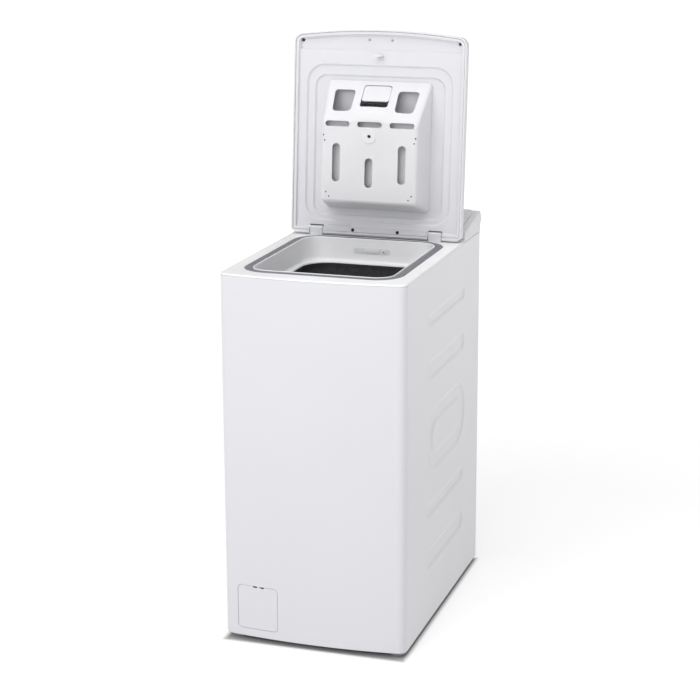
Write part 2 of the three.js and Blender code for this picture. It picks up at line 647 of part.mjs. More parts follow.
function drumShell() {
  const { y, z, radius, sheet, half, mouth, mouthHalf } = DRUM;
  const mouthWedge = sector(120, radius + 10, MOUTH_UP - mouth, MOUTH_UP + mouth);
  const ring = FLAP_HINGE;
  let shell = rodX(radius, -half, half, y, z, DRUM_SIDES)
    .subtract(rodX(radius - sheet, sheet - half, half - sheet, y, z, DRUM_SIDES))
    .subtract(slabX(mouthWedge, -mouthHalf, mouthHalf, 4));
  for (const side of [-1, 1]) {
    const a = rad(MOUTH_UP + side * ring.angle);
    const at = [y + ring.radius * Math.cos(a), z + ring.radius * Math.sin(a)];
    for (const end of [-1, 1]) {
      const x0 = end > 0 ? ring.half + 0.5 : -mouthHalf - 3;
      const x1 = end > 0 ? mouthHalf + 3 : -ring.half - 0.5;
      shell = shell.add(rodX(ring.barrel + 0.6, x0, x1, ...at, 10));
    }
    shell = shell.subtract(rodX(ring.pin + 0.25, -ring.half - 5, ring.half + 5, ...at, 8));
  }
  return shell.subtract(rodX(4, -200, 200, y, z, 8));
}

function drumFlap(side) {
  const { y, z, radius, sheet } = DRUM;
  const ring = FLAP_HINGE;
  const from = side > 0 ? MOUTH_UP + FLAP.meeting : MOUTH_UP - FLAP.edge;
  const to = side > 0 ? MOUTH_UP + FLAP.edge : MOUTH_UP - FLAP.meeting;
  const a = rad(MOUTH_UP + side * ring.angle);
  const at = [y + ring.radius * Math.cos(a), z + ring.radius * Math.sin(a)];
  return slabX(sector(radius - sheet, radius, from, to), -ring.half, ring.half, 4)
    .add(rodX(ring.barrel, -ring.half, ring.half, ...at, 10))
    .subtract(rodX(ring.pin + 0.25, -ring.half - 5, ring.half + 5, ...at, 8));
}

function drumPaddle() {
  const { y, z, radius, sheet, half } = DRUM;
  const rib = new THREE.Shape();
  rib.absarc(y, z - 172, 12, Math.PI, 0, true);
  rib.lineTo(y + 38, z - radius);
  rib.lineTo(y - 38, z - radius);
  rib.closePath();
  return slabX(rib, 4 - half, half - 4, 6)
    .intersect(rodX(radius - sheet - GAP, -half, half, y, z, DRUM_SIDES));
}

function shaft(side) {
  const { y, z, half } = DRUM;
  const end = side > 0 ? 174 : 158;
  const piece = rodX(55, half + GAP, half + 4, y, z).add(rodX(SHAFT_RADIUS, half + 4, end, y, z));
  return side > 0 ? piece : piece.mirror([1, 0, 0]);
}

function bearing(side) {
  const ring = rodX(BEARING.radius, BEARING.from, BEARING.to, DRUM.y, DRUM.z)
    .subtract(rodX(BEARING.bore, 130, 170, DRUM.y, DRUM.z));
  return side > 0 ? ring : ring.mirror([1, 0, 0]);
}

put('drum_shell', drumShell(), stainless);
put('drum_flap_front', drumFlap(1), stainless);
put('drum_flap_rear', drumFlap(-1), stainless);
put('drum_paddle', drumPaddle(), whitePlastic);
put('drum_shaft_right', shaft(1), steel);
put('drum_shaft_left', shaft(-1), steel);
put('bearing_right', bearing(1), steel);
put('bearing_left', bearing(-1), steel);

// ---------------------------------------------------------------- drive
function drumPulley() {
  const { radius, from, to } = PULLEY;
  let wheel = rodX(radius, from, to, DRUM.y, DRUM.z, 40)
    .subtract(rodX(BEARING.bore, 150, 180, DRUM.y, DRUM.z));
  for (let i = 0; i < 6; i += 1) {
    const a = rad(60 * i);
    wheel = wheel.subtract(rodX(36, 150, 180, DRUM.y + 80 * Math.cos(a), DRUM.z + 80 * Math.sin(a), 12));
  }
  return wheel;
}

// The band around two pulleys of radii a and b, grown outwards
function beltLoop(a, b, grow) {
  const dy = MOTOR.y - DRUM.y;
  const dz = MOTOR.z - DRUM.z;
  const heading = Math.atan2(dz, dy);
  const spread = Math.acos((a - b) / Math.hypot(dy, dz));
  const shape = new THREE.Shape();
  shape.absarc(DRUM.y, DRUM.z, a + grow, heading + spread, heading - spread + 2 * Math.PI);
  shape.absarc(MOTOR.y, MOTOR.z, b + grow, heading - spread, heading + spread);
  shape.closePath();
  return shape;
}

function belt() {
  const x0 = PULLEY.from + 0.5;
  const x1 = PULLEY.to - 0.5;
  return slabX(beltLoop(PULLEY.radius, MOTOR.pulley, BELT.gap + BELT.thickness), x0, x1, 12)
    .subtract(slabX(beltLoop(PULLEY.radius, MOTOR.pulley, BELT.gap), x0 - 1, x1 + 1, 12));
}

function motor() {
  const can = rodX(MOTOR.radius, -20, 146, MOTOR.y, MOTOR.z);
  const cap = rodX(22, 146, 150, MOTOR.y, MOTOR.z);
  const strap = polygon([[MOTOR.y - 58, MOTOR.z], [MOTOR.y - 30, MOTOR.z - 20], [MOTOR.y + 40, MOTOR.z],
    [DRUM.y + 160, DRUM.z - 120], [DRUM.y + 60, DRUM.z - 190]]);
  const straps = slabX(strap, 10, 16).add(slabX(strap, 80, 86))
    .subtract(rodX(TUB.radius + GAP, 0, 130, DRUM.y, DRUM.z, TUB_SIDES));
  return can.add(cap)
    .add(straps)
    .subtract(rodX(6, 140, 160, MOTOR.y, MOTOR.z, 12));
}

function motorPulley() {
  const { from, to } = PULLEY;
  return rodX(5, 141, to + 2, MOTOR.y, MOTOR.z, 12)
    .add(rodX(MOTOR.pulley, from - 2, to + 2, MOTOR.y, MOTOR.z))
    .add(rodX(MOTOR.pulley + 4, from - 3, from - 1, MOTOR.y, MOTOR.z))
    .add(rodX(MOTOR.pulley + 4, to + 1, to + 3, MOTOR.y, MOTOR.z));
}

put('drum_pulley', drumPulley(), steel);
put('drive_belt', belt(), blackRubber);
put('motor', motor(), steel);
put('motor_pulley', motorPulley(), steel);

// ---------------------------------------------------------------- services
function inletValve() {
  const body = box(130, 170, 262, PANEL_REAR - 2, 722, 758);
  const spigot = rodY(13, PANEL_REAR - 3, REACH, 150, 740, 16);
  return body.add(spigot).subtract(rodY(9, PANEL_REAR, REACH + 1, 150, 740, 16));
}

function collar(x, z, radius, bore) {
  return rodY(radius, PANEL_REAR - 8, REACH - 4, x, z, 16).subtract(rodY(bore, 280, 320, x, z, 16));
}

function heater() {
  const z = DRUM.z - 216.5;
  const leg = 12;
  const path = new THREE.CurvePath();
  const points = [];
  for (let i = 0; i <= 8; i += 1) {
    const a = rad(-90 + 22.5 * i);
    points.push(new THREE.Vector3(100 + leg * Math.cos(a), DRUM.y + leg * Math.sin(a), z));
  }
  path.add(new THREE.LineCurve3(new THREE.Vector3(-134, DRUM.y - leg, z), points[0]));
  for (let i = 0; i < 8; i += 1) {
    path.add(new THREE.LineCurve3(points[i], points[i + 1]));
  }
  path.add(new THREE.LineCurve3(points[8], new THREE.Vector3(-134, DRUM.y + leg, z)));
  const section = new THREE.Shape();
  section.absarc(0, 0, 3, 0, 2 * Math.PI);
  const tube = new THREE.ExtrudeGeometry(section, { extrudePath: path, steps: 30, curveSegments: 3 });
  return solid(tube).add(box(-141, -134.5, DRUM.y - 20, DRUM.y + 20, z - 4.5, z + 5))
    .add(box(-136, -133, DRUM.y - leg - 3, DRUM.y + leg + 3, z - 3, z + 3));
}

put('inlet_valve', inletValve(), darkPlastic);
put('drain_collar', collar(150, 640, 12.6, 9), darkPlastic);
put('cable_gland', collar(-150, 700, 8.6, 4), darkPlastic);
put('heater', heater(), steel);

export default machine;
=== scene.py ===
"""A slim top-loading washing machine with its lid open: looks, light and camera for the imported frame."""
import json
import math

import bmesh
import bpy
from mathutils import Matrix, Vector


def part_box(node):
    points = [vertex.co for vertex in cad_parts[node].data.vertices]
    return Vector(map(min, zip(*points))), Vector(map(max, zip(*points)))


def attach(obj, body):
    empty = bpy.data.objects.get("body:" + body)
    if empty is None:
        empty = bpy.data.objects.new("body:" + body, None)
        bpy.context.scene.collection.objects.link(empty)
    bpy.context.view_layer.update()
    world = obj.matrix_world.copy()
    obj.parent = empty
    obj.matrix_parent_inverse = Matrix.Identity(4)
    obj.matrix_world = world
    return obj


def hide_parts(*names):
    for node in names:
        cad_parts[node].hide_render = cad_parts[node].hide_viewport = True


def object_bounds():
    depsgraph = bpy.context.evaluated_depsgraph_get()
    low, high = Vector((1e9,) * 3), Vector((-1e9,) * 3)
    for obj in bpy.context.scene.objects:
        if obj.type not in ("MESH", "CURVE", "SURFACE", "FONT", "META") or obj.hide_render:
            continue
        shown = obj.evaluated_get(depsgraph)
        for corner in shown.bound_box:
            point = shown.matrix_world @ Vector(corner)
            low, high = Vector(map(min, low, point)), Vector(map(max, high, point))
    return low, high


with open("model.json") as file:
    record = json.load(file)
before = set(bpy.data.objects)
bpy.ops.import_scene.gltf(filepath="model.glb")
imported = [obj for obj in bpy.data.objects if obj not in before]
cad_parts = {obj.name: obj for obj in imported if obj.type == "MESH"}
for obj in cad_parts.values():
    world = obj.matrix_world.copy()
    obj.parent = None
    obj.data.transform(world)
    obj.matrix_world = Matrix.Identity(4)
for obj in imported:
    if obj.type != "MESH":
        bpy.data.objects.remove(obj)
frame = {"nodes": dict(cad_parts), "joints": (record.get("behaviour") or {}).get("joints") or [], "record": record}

MM = 0.001
cad_low, cad_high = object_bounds()
nodes = frame["nodes"]
joints = {joint["name"]: joint for joint in frame["joints"]}
slot_of = {part["node"]: part["material_slot"] for part in frame["record"]["subparts"]}
body_of = {node: body for body, members in frame["record"]["behaviour"]["bodies"].items()
           for node in members}


# ---------------------------------------------------------------- camera, light and floor
CAMERA_AZIMUTH = math.radians(17.25)
CAMERA_PITCH = math.radians(13.98)
CAMERA_DISTANCE = 4.163
CAMERA_LENS = 94.33
CAMERA_SHIFT = (-0.0415, -0.0429)
AIM_BACK = 0.1664
AIM_UP = -0.0241


def make_camera():
    centre = (cad_low + cad_high) / 2
    aim = centre + Vector((0, AIM_BACK, AIM_UP))
    toward = Vector((math.sin(CAMERA_AZIMUTH) * math.cos(CAMERA_PITCH),
                     -math.cos(CAMERA_AZIMUTH) * math.cos(CAMERA_PITCH),
                     math.sin(CAMERA_PITCH)))
    data = bpy.data.cameras.new("camera")
    data.lens = CAMERA_LENS
    data.sensor_width = 36
    data.shift_x, data.shift_y = CAMERA_SHIFT
    data.clip_end = 50
    camera = bpy.data.objects.new("camera", data)
    camera.location = aim + toward * CAMERA_DISTANCE
    camera.rotation_euler = toward.to_track_quat("Z", "Y").to_euler()
    bpy.context.scene.collection.objects.link(camera)
    bpy.context.scene.camera = camera


def area_light(name, place, aim, size, power):
    data = bpy.data.lights.new(name, "AREA")
    data.shape = "RECTANGLE"
    data.size, data.size_y = size
    data.energy = power
    light = bpy.data.objects.new(name, data)
    light.location = place
    light.rotation_euler = (Vector(place) - Vector(aim)).to_track_quat("Z", "Y").to_euler()
    bpy.context.scene.collection.objects.link(light)


SKY_STRENGTH = 0.22


def make_light():
    area_light("key", (-1.0, -4.2, 3.0), (0, 0, 0.7), (4.0, 2.2), 94)
    area_light("top", (0.3, -0.6, 3.9), (0, 0, 0.8), (5.5, 4.5), 120)
    world = bpy.data.worlds.new("studio")
    world.use_nodes = True
    tree = world.node_tree
    soft = tree.nodes["Background"]
    soft.inputs["Color"].default_value = (1, 1, 1, 1)
    soft.inputs["Strength"].default_value = SKY_STRENGTH
    backdrop = tree.nodes.new("ShaderNodeBackground")
    backdrop.inputs["Color"].default_value = (1, 1, 1, 1)
    backdrop.inputs["Strength"].default_value = 1.05
    seen = tree.nodes.new("ShaderNodeLightPath")
    mix = tree.nodes.new("ShaderNodeMixShader")
    tree.links.new(seen.outputs["Is Camera Ray"], mix.inputs["Fac"])
    tree.links.new(soft.outputs["Background"], mix.inputs[1])
    tree.links.new(backdrop.outputs["Background"], mix.inputs[2])
    tree.links.new(mix.outputs["Shader"], tree.nodes["World Output"].inputs["Surface"])
    bpy.context.scene.world = world
    bpy.context.scene.view_settings.view_transform = "Standard"


# ---------------------------------------------------------------- materials
class Paint:
    """A principled material under construction, with real-scale detail in object space."""

    def __init__(self, name, colour, roughness, metallic=0.0, coat=0.0):
        self.material = bpy.data.materials.new(name)
        self.material.use_nodes = True
        self.material.diffuse_color = (*colour, 1)
        self.tree = self.material.node_tree
        self.shader = self.tree.nodes["Principled BSDF"]
        self.shader.inputs["Base Color"].default_value = (*colour, 1)
        self.shader.inputs["Roughness"].default_value = roughness
        self.shader.inputs["Metallic"].default_value = metallic
        self.shader.inputs["Coat Weight"].default_value = coat
        self.place = self.tree.nodes.new("ShaderNodeTexCoord")
        self.bump = None

    def node(self, kind, **values):
        made = self.tree.nodes.new(kind)
        for key, value in values.items():
            if key in made.inputs:
                made.inputs[key].default_value = value
            else:
                setattr(made, key, value)
        return made

    def link(self, source, target):
        self.tree.links.new(source, target)

    def stretched(self, scale):
        mapping = self.node("ShaderNodeMapping")
        mapping.inputs["Scale"].default_value = scale
        self.link(self.place.outputs["Object"], mapping.inputs["Vector"])
        return mapping.outputs["Vector"]

    def noise(self, size, detail=3.0, stretch=(1, 1, 1)):
        """Noise whose blobs are about size metres across."""
        made = self.node("ShaderNodeTexNoise", Scale=1 / size, Detail=detail)
        self.link(self.stretched(stretch), made.inputs["Vector"])
        return made.outputs["Fac"]

    def raise_by(self, height, depth, strength=1.0):
        """Adds a bump of the given depth in metres on top of any bump made before."""
        bump = self.node("ShaderNodeBump", Strength=strength, Distance=depth)
        self.link(height, bump.inputs["Height"])
        if self.bump:
            self.link(self.bump.outputs["Normal"], bump.inputs["Normal"])
        self.link(bump.outputs["Normal"], self.shader.inputs["Normal"])
        self.bump = bump

    def ramp(self, fac, low, high, start=0.35, end=0.65):
        made = self.node("ShaderNodeMapRange", clamp=True)
        made.inputs["From Min"].default_value = start
        made.inputs["From Max"].default_value = end
        made.inputs["To Min"].default_value = low
        made.inputs["To Max"].default_value = high
        self.link(fac, made.inputs["Value"])
        return made.outputs["Result"]

    def vary_roughness(self, fac, low, high):
        self.link(self.ramp(fac, low, high), self.shader.inputs["Roughness"])

    def vary_colour(self, fac, first, second, start=0.35, end=0.65):
        mix = self.node("ShaderNodeMix", data_type="RGBA")
        for socket in mix.inputs:
            if socket.name == "A" and socket.type == "RGBA":
                socket.default_value = (*first, 1)
            if socket.name == "B" and socket.type == "RGBA":
                socket.default_value = (*second, 1)
        self.link(self.ramp(fac, 0, 1, start, end), mix.inputs[0])
        colour = next(out for out in mix.outputs if out.type == "RGBA")
        self.link(colour, self.shader.inputs["Base Color"])


def shades(colour, spread):
    return tuple(c * (1 - spread) for c in colour), tuple(min(1, c * (1 + spread)) for c in colour)


def enamel(name, colour):
    paint = Paint(name, colour, 0.3, coat=0.25)
    paint.shader.inputs["Coat Roughness"].default_value = 0.12
    paint.raise_by(paint.noise(0.003, 2), 0.00001, 0.4)
    paint.vary_roughness(paint.noise(0.12, 4), 0.3, 0.34)
    paint.vary_colour(paint.noise(0.25, 3), *shades(colour, 0.006))
    return paint.material


def moulded(name, colour, roughness=0.42, grain=0.0004, depth=0.000012, spread=0.01, glow_through=0.0):
    paint = Paint(name, colour, roughness)
    paint.shader.inputs["Subsurface Weight"].default_value = glow_through
    paint.shader.inputs["Subsurface Radius"].default_value = (1, 1, 1)
    paint.shader.inputs["Subsurface Scale"].default_value = 0.006
    paint.raise_by(paint.noise(grain, 3), depth, 0.6)
    paint.raise_by(paint.noise(0.02, 2), 0.00006, 0.25)
    paint.vary_roughness(paint.noise(0.03, 4), roughness - 0.05, roughness + 0.06)
    paint.vary_colour(paint.noise(0.06, 3), *shades(colour, spread))
    return paint.material


def rubber(name, colour, spread=0.08):
    paint = Paint(name, colour, 0.68)
    paint.shader.inputs["Specular IOR Level"].default_value = 0.3
    paint.raise_by(paint.noise(0.0007, 4), 0.00003, 0.7)
    paint.vary_roughness(paint.noise(0.008, 4), 0.6, 0.8)
    paint.vary_colour(paint.noise(0.015, 4), *shades(colour, spread))
    return paint.material


def brushed(name, colour, stretch, roughness=0.3):
    """Metal with fine lines drawn out along one axis."""
    paint = Paint(name, colour, roughness, metallic=1.0)
    lines = paint.noise(0.0006, 3, stretch)
    paint.raise_by(lines, 0.00001, 0.6)
    paint.vary_roughness(lines, roughness - 0.07, roughness + 0.12)
    paint.vary_colour(paint.noise(0.05, 4), *shades(colour, 0.05))
    return paint.material


def galvanised(name, colour):
    paint = Paint(name, colour, 0.42, metallic=1.0)
    cells = paint.node("ShaderNodeTexVoronoi", Scale=70.0)
    paint.link(paint.place.outputs["Object"], cells.inputs["Vector"])
    paint.vary_roughness(cells.outputs["Distance"], 0.34, 0.55)
    paint.vary_colour(cells.outputs["Distance"], *shades(colour, 0.12), 0.0, 0.8)
    paint.raise_by(paint.noise(0.0009, 3), 0.00001, 0.5)
    return paint.material


def cast(name, colour):
    paint = Paint(name, colour, 0.9)
    paint.raise_by(paint.noise(0.004, 6), 0.0006, 0.8)
    paint.vary_colour(paint.noise(0.01, 6), *shades(colour, 0.2))
    return paint.material


def dark_glass(name):
    paint = Paint(name, (0.012, 0.014, 0.018), 0.08, coat=0.6)
    paint.vary_roughness(paint.noise(0.02, 4), 0.05, 0.12)
    paint.vary_colour(paint.noise(0.03, 3), (0.010, 0.012, 0.016), (0.018, 0.020, 0.026))
    return paint.material


WHITE = (0.73, 0.73, 0.752)
LINER = (0.695, 0.695, 0.722)
finish = {
    "enamel": enamel("enamel", (0.695, 0.695, 0.727)),
    "white_plastic": moulded("white_plastic", WHITE, glow_through=0.3),
    # A lighter copy of white_plastic for the top frame: painted light that brightens the loading well, where the
    # lamps reach little
    "white_plastic_painted_light": moulded("white_plastic_painted_light", (0.86, 0.86, 0.87), glow_through=0.3),
    "liner_plastic": moulded("liner_plastic", LINER, 0.45, glow_through=0.2),
    "grey_plastic": moulded("grey_plastic", (0.40, 0.40, 0.42), 0.45),
    "seal_rubber": rubber("seal_rubber", (0.20, 0.20, 0.225)),
    "black_rubber": rubber("black_rubber", (0.012, 0.012, 0.014)),
    "dark_plastic": moulded("dark_plastic", (0.035, 0.035, 0.04), 0.48),
    "tub_plastic": moulded("tub_plastic", (0.45, 0.46, 0.47), 0.6, 0.001, 0.00004),
    "stainless": brushed("stainless", (0.55, 0.56, 0.58), (0.02, 1, 1)),
    "zinc_steel": galvanised("zinc_steel", (0.42, 0.43, 0.45)),
    "black_steel": moulded("black_steel", (0.006, 0.006, 0.007), 0.5),
    "concrete": cast("concrete", (0.32, 0.31, 0.30)),
    "display_glass": dark_glass("display_glass"),
    "circuit_board": moulded("circuit_board", (0.02, 0.16, 0.06), 0.35, 0.001, 0.00005, 0.15),
}


def paint_cad_nodes():
    for name, node in nodes.items():
        if not node.material_slots:
            node.data.materials.append(None)
        for slot in node.material_slots:
            slot.link = "OBJECT"
            slot.material = finish[slot_of[name]]


# ---------------------------------------------------------------- mesh helpers
def new_piece(name, mesh, slot, body, *replaced, sharp=35, paint=None):
    """Finishes a mesh as a visible piece: smooth shading, material, body and what it stands for."""
    for polygon in mesh.polygons:
        polygon.use_smooth = True
    mesh.set_sharp_from_angle(angle=math.radians(sharp))
    mesh = evaluated(mesh, ("WEIGHTED_NORMAL", {"keep_sharp": True, "weight": 100}))
    mesh.materials.clear()
    mesh.materials.append(finish[paint or slot])
    piece = bpy.data.objects.new(name, mesh)
    bpy.context.scene.collection.objects.link(piece)
    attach(piece, body)
    if replaced:
        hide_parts(*replaced)
    return piece


def mesh_from(name, points, faces):
    mesh = bpy.data.meshes.new(name)
    mesh.from_pydata([tuple(p) for p in points], [], faces)
    work = bmesh.new()
    work.from_mesh(mesh)
    bmesh.ops.recalc_face_normals(work, faces=work.faces)
    if work.calc_volume(signed=True) < 0:
        bmesh.ops.reverse_faces(work, faces=work.faces)
    work.to_mesh(mesh)
    work.free()
    return mesh


def loft(name, rings, closed=False, cap_first=False, cap_last=False):
    """Joins closed rings of the same number of points into a skin."""
    count = len(rings[0])
    points = [p for ring in rings for p in ring]
    faces = []
    spans = len(rings) if closed else len(rings) - 1
    for r in range(spans):
        a = r * count
        b = (r + 1) % len(rings) * count
        for i in range(count):
            j = (i + 1) % count
            faces.append((a + i, a + j, b + j, b + i))
    if cap_first:
        faces.append(tuple(range(count))[::-1])
    if cap_last:
        faces.append(tuple(range(len(points) - count, len(points))))
    return mesh_from(name, points, faces)


def prism(name, outline, low, high, frame_matrix=Matrix.Identity(4)):
    """An outline of (u, v) points swept along w from low to high in the given frame."""
    rings = [[frame_matrix @ Vector((u, v, w)) for u, v in outline] for w in (low, high)]
    return loft(name, rings, cap_first=True, cap_last=True)


def evaluated(mesh, *modifiers):
    """The mesh after modifiers, each a (type, settings) pair, have been applied to it."""
    holder = bpy.data.objects.new("holder", mesh)
    bpy.context.scene.collection.objects.link(holder)
    for kind, settings in modifiers:
        modifier = holder.modifiers.new(kind, kind)
        for key, value in settings.items():
            setattr(modifier, key, value)
    graph = bpy.context.evaluated_depsgraph_get()
    result = bpy.data.meshes.new_from_object(holder.evaluated_get(graph))
    bpy.data.objects.remove(holder)
    return result


def bevelled(mesh, width, segments=3, angle=30):
    return evaluated(mesh, ("BEVEL", {
        "width": width, "segments": segments, "limit_method": "ANGLE",
        "angle_limit": math.radians(angle), "use_clamp_overlap": True}))


def cut(mesh, *cutters, operation="DIFFERENCE"):
    for cutter in cutters:
        tool = bpy.data.objects.new("tool", cutter)
        bpy.context.scene.collection.objects.link(tool)
        mesh = evaluated(mesh, ("BOOLEAN", {"object": tool, "operation": operation, "solver": "MANIFOLD"}))
        bpy.data.objects.remove(tool)
    return mesh


# Frames for prism(): the first sweeps a (y, z) outline along X, the second an (x, z) outline along Y
SIDEWAYS = Matrix(((0, 0, 1, 0), (1, 0, 0, 0), (0, 1, 0, 0), (0, 0, 0, 1)))
UPRIGHT = Matrix(((1, 0, 0, 0), (0, 0, 1, 0), (0, 1, 0, 0), (0, 0, 0, 1)))


def block(x0, x1, y0, y1, z0, z1):
    return prism("block", [(x0, y0), (x1, y0), (x1, y1), (x0, y1)], z0, z1)


def arc(cu, cv, radius, start, end, steps):
    """Points on an arc from start to end, in degrees, both included."""
    return [(cu + radius * math.cos(math.radians(start + (end - start) * i / steps)),
             cv + radius * math.sin(math.radians(start + (end - start) * i / steps)))
            for i in range(steps + 1)]


def rounded(u0, u1, v0, v1, radius, steps=8):
    return (arc(u1 - radius, v0 + radius, radius, -90, 0, steps)
            + arc(u1 - radius, v1 - radius, radius, 0, 90, steps)
            + arc(u0 + radius, v1 - radius, radius, 90, 180, steps)
            + arc(u0 + radius, v0 + radius, radius, 180, 270, steps))


BOW_RADIUS = 1445 * MM          # plan radius of the bowed front and of the lid's front edge
ARC_STEPS = 10
EDGE_STEPS = 16


def between(start, end):
    """The points strictly between two corners of an outline."""
    return [tuple(a + (b - a) * i / EDGE_STEPS for a, b in zip(start, end)) for i in range(1, EDGE_STEPS)]


def plan(half, front, rear, corner, rear_corner, inset=0.0, bowed=True):
    """A plan outline with rounded corners and a front edge that may bow. Every plan has as many points."""
    r = max(corner - inset, 0.0001)
    q = max(rear_corner - inset, 0.0001)
    cx = half - inset - r
    if bowed:
        centre = front + BOW_RADIUS
        cy = centre - math.sqrt((BOW_RADIUS - inset - r) ** 2 - cx ** 2)
        lean = math.degrees(math.atan2(cx, centre - cy))
        edge = arc(0, centre, BOW_RADIUS - inset, -90 - lean, -90 + lean, EDGE_STEPS)[1:-1]
    else:
        cy = front + inset + r
        lean = 0
        edge = between((-cx, front + inset), (cx, front + inset))
    back = rear - inset
    left = arc(-cx, cy, r, -180, -90 - lean, ARC_STEPS)
    right = arc(cx, cy, r, -90 + lean, 0, ARC_STEPS)
    far_right = arc(half - inset - q, back - q, q, 0, 90, ARC_STEPS)
    far_left = arc(inset + q - half, back - q, q, 90, 180, ARC_STEPS)
    return (left + edge + right + between(right[-1], far_right[0]) + far_right
            + between(far_right[-1], far_left[0]) + far_left + between(far_left[-1], left[0]))


def ring(outline, z):
    return [Vector((x, y, z)) for x, y in outline]


def fillet(radius, steps=5):
    """(inset, rise) pairs of a quarter round, from the side up on to the top."""
    return [(radius * (1 - math.cos(math.pi / 2 * i / steps)), radius * math.sin(math.pi / 2 * i / steps))
            for i in range(steps + 1)]


# ---------------------------------------------------------------- cabinet
half_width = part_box("side_panel_right")[1].x
front_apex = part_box("front_panel")[0].y
panel_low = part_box("side_panel_right")[0].z
panel_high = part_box("side_panel_right")[1].z
frame_low, frame_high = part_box("top_frame")
DECK = panel_high + 4 * MM
CORNER = 18 * MM
SEAM = -282 * MM                # where the front panel's corners meet the side panels
DOOR = {"left": -168 * MM, "right": -77 * MM, "low": 30.6 * MM, "high": 126.6 * MM, "corner": 9 * MM}


def cabinet_plan(inset, rear=0.0):
    return plan(half_width, front_apex, rear, CORNER, 0.3 * MM, inset)


def bow_depth(x, inset=0.0):
    """The bowed front's y at x."""
    centre = front_apex + BOW_RADIUS
    return centre - math.sqrt((BOW_RADIUS - inset) ** 2 - x * x)


def front_panel():
    """The wrapped front sheet, turned in at its top and bottom edges, with the filter doorway cut out."""
    def front_half(inset):
        cx = half_width - CORNER
        centre = front_apex + BOW_RADIUS
        cy = centre - math.sqrt((BOW_RADIUS - CORNER) ** 2 - cx ** 2)
        lean = math.degrees(math.atan2(cx, centre - cy))
        r = CORNER - inset
        left = arc(-cx, cy, r, -180, -90 - lean, 14)
        middle = arc(0, centre, BOW_RADIUS - inset, -90 - lean, -90 + lean, 60)[1:-1]
        return [(inset - half_width, SEAM)] + left + middle + arc(cx, cy, r, -90 + lean, 0, 14) + [
            (half_width - inset, SEAM)]
    thick = 1.2 * MM
    edge = fillet(1.6 * MM, 4)
    outside = [(i, panel_low + 1.6 * MM - rise) for i, rise in reversed(edge)]
    outside += [(i, panel_high - 1.6 * MM + rise) for i, rise in edge]
    lip = 9 * MM
    profile = ([(lip, panel_low)] + outside + [(lip, panel_high), (lip, panel_high - thick)]
               + [(thick + 0.4 * MM, panel_high - thick), (thick + 0.4 * MM, panel_low + thick),
                  (lip, panel_low + thick)])
    rows = [ring(front_half(inset), z) for inset, z in profile]
    count = len(rows[0])
    points = [p for row in rows for p in row]
    faces = []
    for r in range(len(rows)):
        a, b = r * count, (r + 1) % len(rows) * count
        faces += [(a + i, a + i + 1, b + i + 1, b + i) for i in range(count - 1)]
    faces.append(tuple(r * count for r in range(len(rows))))
    faces.append(tuple(r * count + count - 1 for r in reversed(range(len(rows)))))
    panel = mesh_from("front_panel_skin", points, faces)
    gap = 0.7 * MM
    doorway = prism("doorway", rounded(DOOR["left"] - gap, DOOR["right"] + gap, DOOR["low"] - gap,
                                       DOOR["high"] + gap, DOOR["corner"] + gap),
                    -0.33, -0.29, UPRIGHT)
    new_piece("front_panel_skin", cut(panel, doorway), "enamel", "cabinet", "front_panel", sharp=40)


def filter_door():
    """The bowed door plate with a rolled edge and two finger slots in its top edge."""
    left, right, low, high, corner = (DOOR[key] for key in ("left", "right", "low", "high", "corner"))
    outline = arc(right - corner, low + corner, corner, -90, 0, 6)
    outline += arc(right - corner, high - corner, corner, 0, 90, 6)
    for x in (-112 * MM, -128 * MM):
        near, far, deep = x + 4.5 * MM, x - 4.5 * MM, high - 2.6 * MM
        outline += [(near, high), (near, deep), (far, deep), (far, high)]
    outline += arc(left + corner, high - corner, corner, 90, 180, 6)
    outline += arc(left + corner, low + corner, corner, 180, 270, 6)
    body = prism("door", outline, -0.32, -0.28, UPRIGHT)
    steps = 24
    span = [left - 0.01 + (right - left + 0.02) * i / steps for i in range(steps + 1)]
    shell = [(x, bow_depth(x)) for x in span] + [(x, bow_depth(x, 2 * MM)) for x in reversed(span)]
    plate = cut(body, prism("shell", shell, 0.01, 0.15), operation="INTERSECT")
    door = bevelled(plate, 0.4 * MM, 2, 40)
    new_piece("filter_door_plate", door, "enamel", "door", "filter_door", sharp=40)


# The pressed shapes of a side panel: [front, rear, low, high], and the loop with its raised island
PRESSINGS = [(-131, 167, 671, 700), (-131, 167, 554, 597), (-131, 167, 249, 280), (-131, 167, 132, 176)]
LOOP = (-131, 175, 345, 490)
LOOP_BAND = 40
PRESS_DEPTH = 2.6 * MM
PRESS_SLOPE = 8.0


def stadium_distance(y, z, shape, shrink=0.0):
    """Signed distance in millimetres to a round-ended slot: negative inside it."""
    front, rear, low, high = shape
    half_y = (rear - front) / 2 - shrink
    half_z = (high - low) / 2 - shrink
    radius = min(half_y, half_z) * 0.96
    dy = abs(y - (front + rear) / 2) - (half_y - radius)
    dz = abs(z - (low + high) / 2) - (half_z - radius)
    return math.hypot(max(dy, 0), max(dz, 0)) + min(max(dy, dz), 0) - radius


def press_depth(y, z):
    """How deep the sheet is pressed in at (y, z) in millimetres of the panel."""
    nearest = min(stadium_distance(y, z, shape) for shape in PRESSINGS)
    loop = max(stadium_distance(y, z, LOOP), -stadium_distance(y, z, LOOP, LOOP_BAND))
    distance = min(nearest, loop)
    t = min(max(-distance / PRESS_SLOPE, 0), 1)
    return PRESS_DEPTH * t * t * (3 - 2 * t)


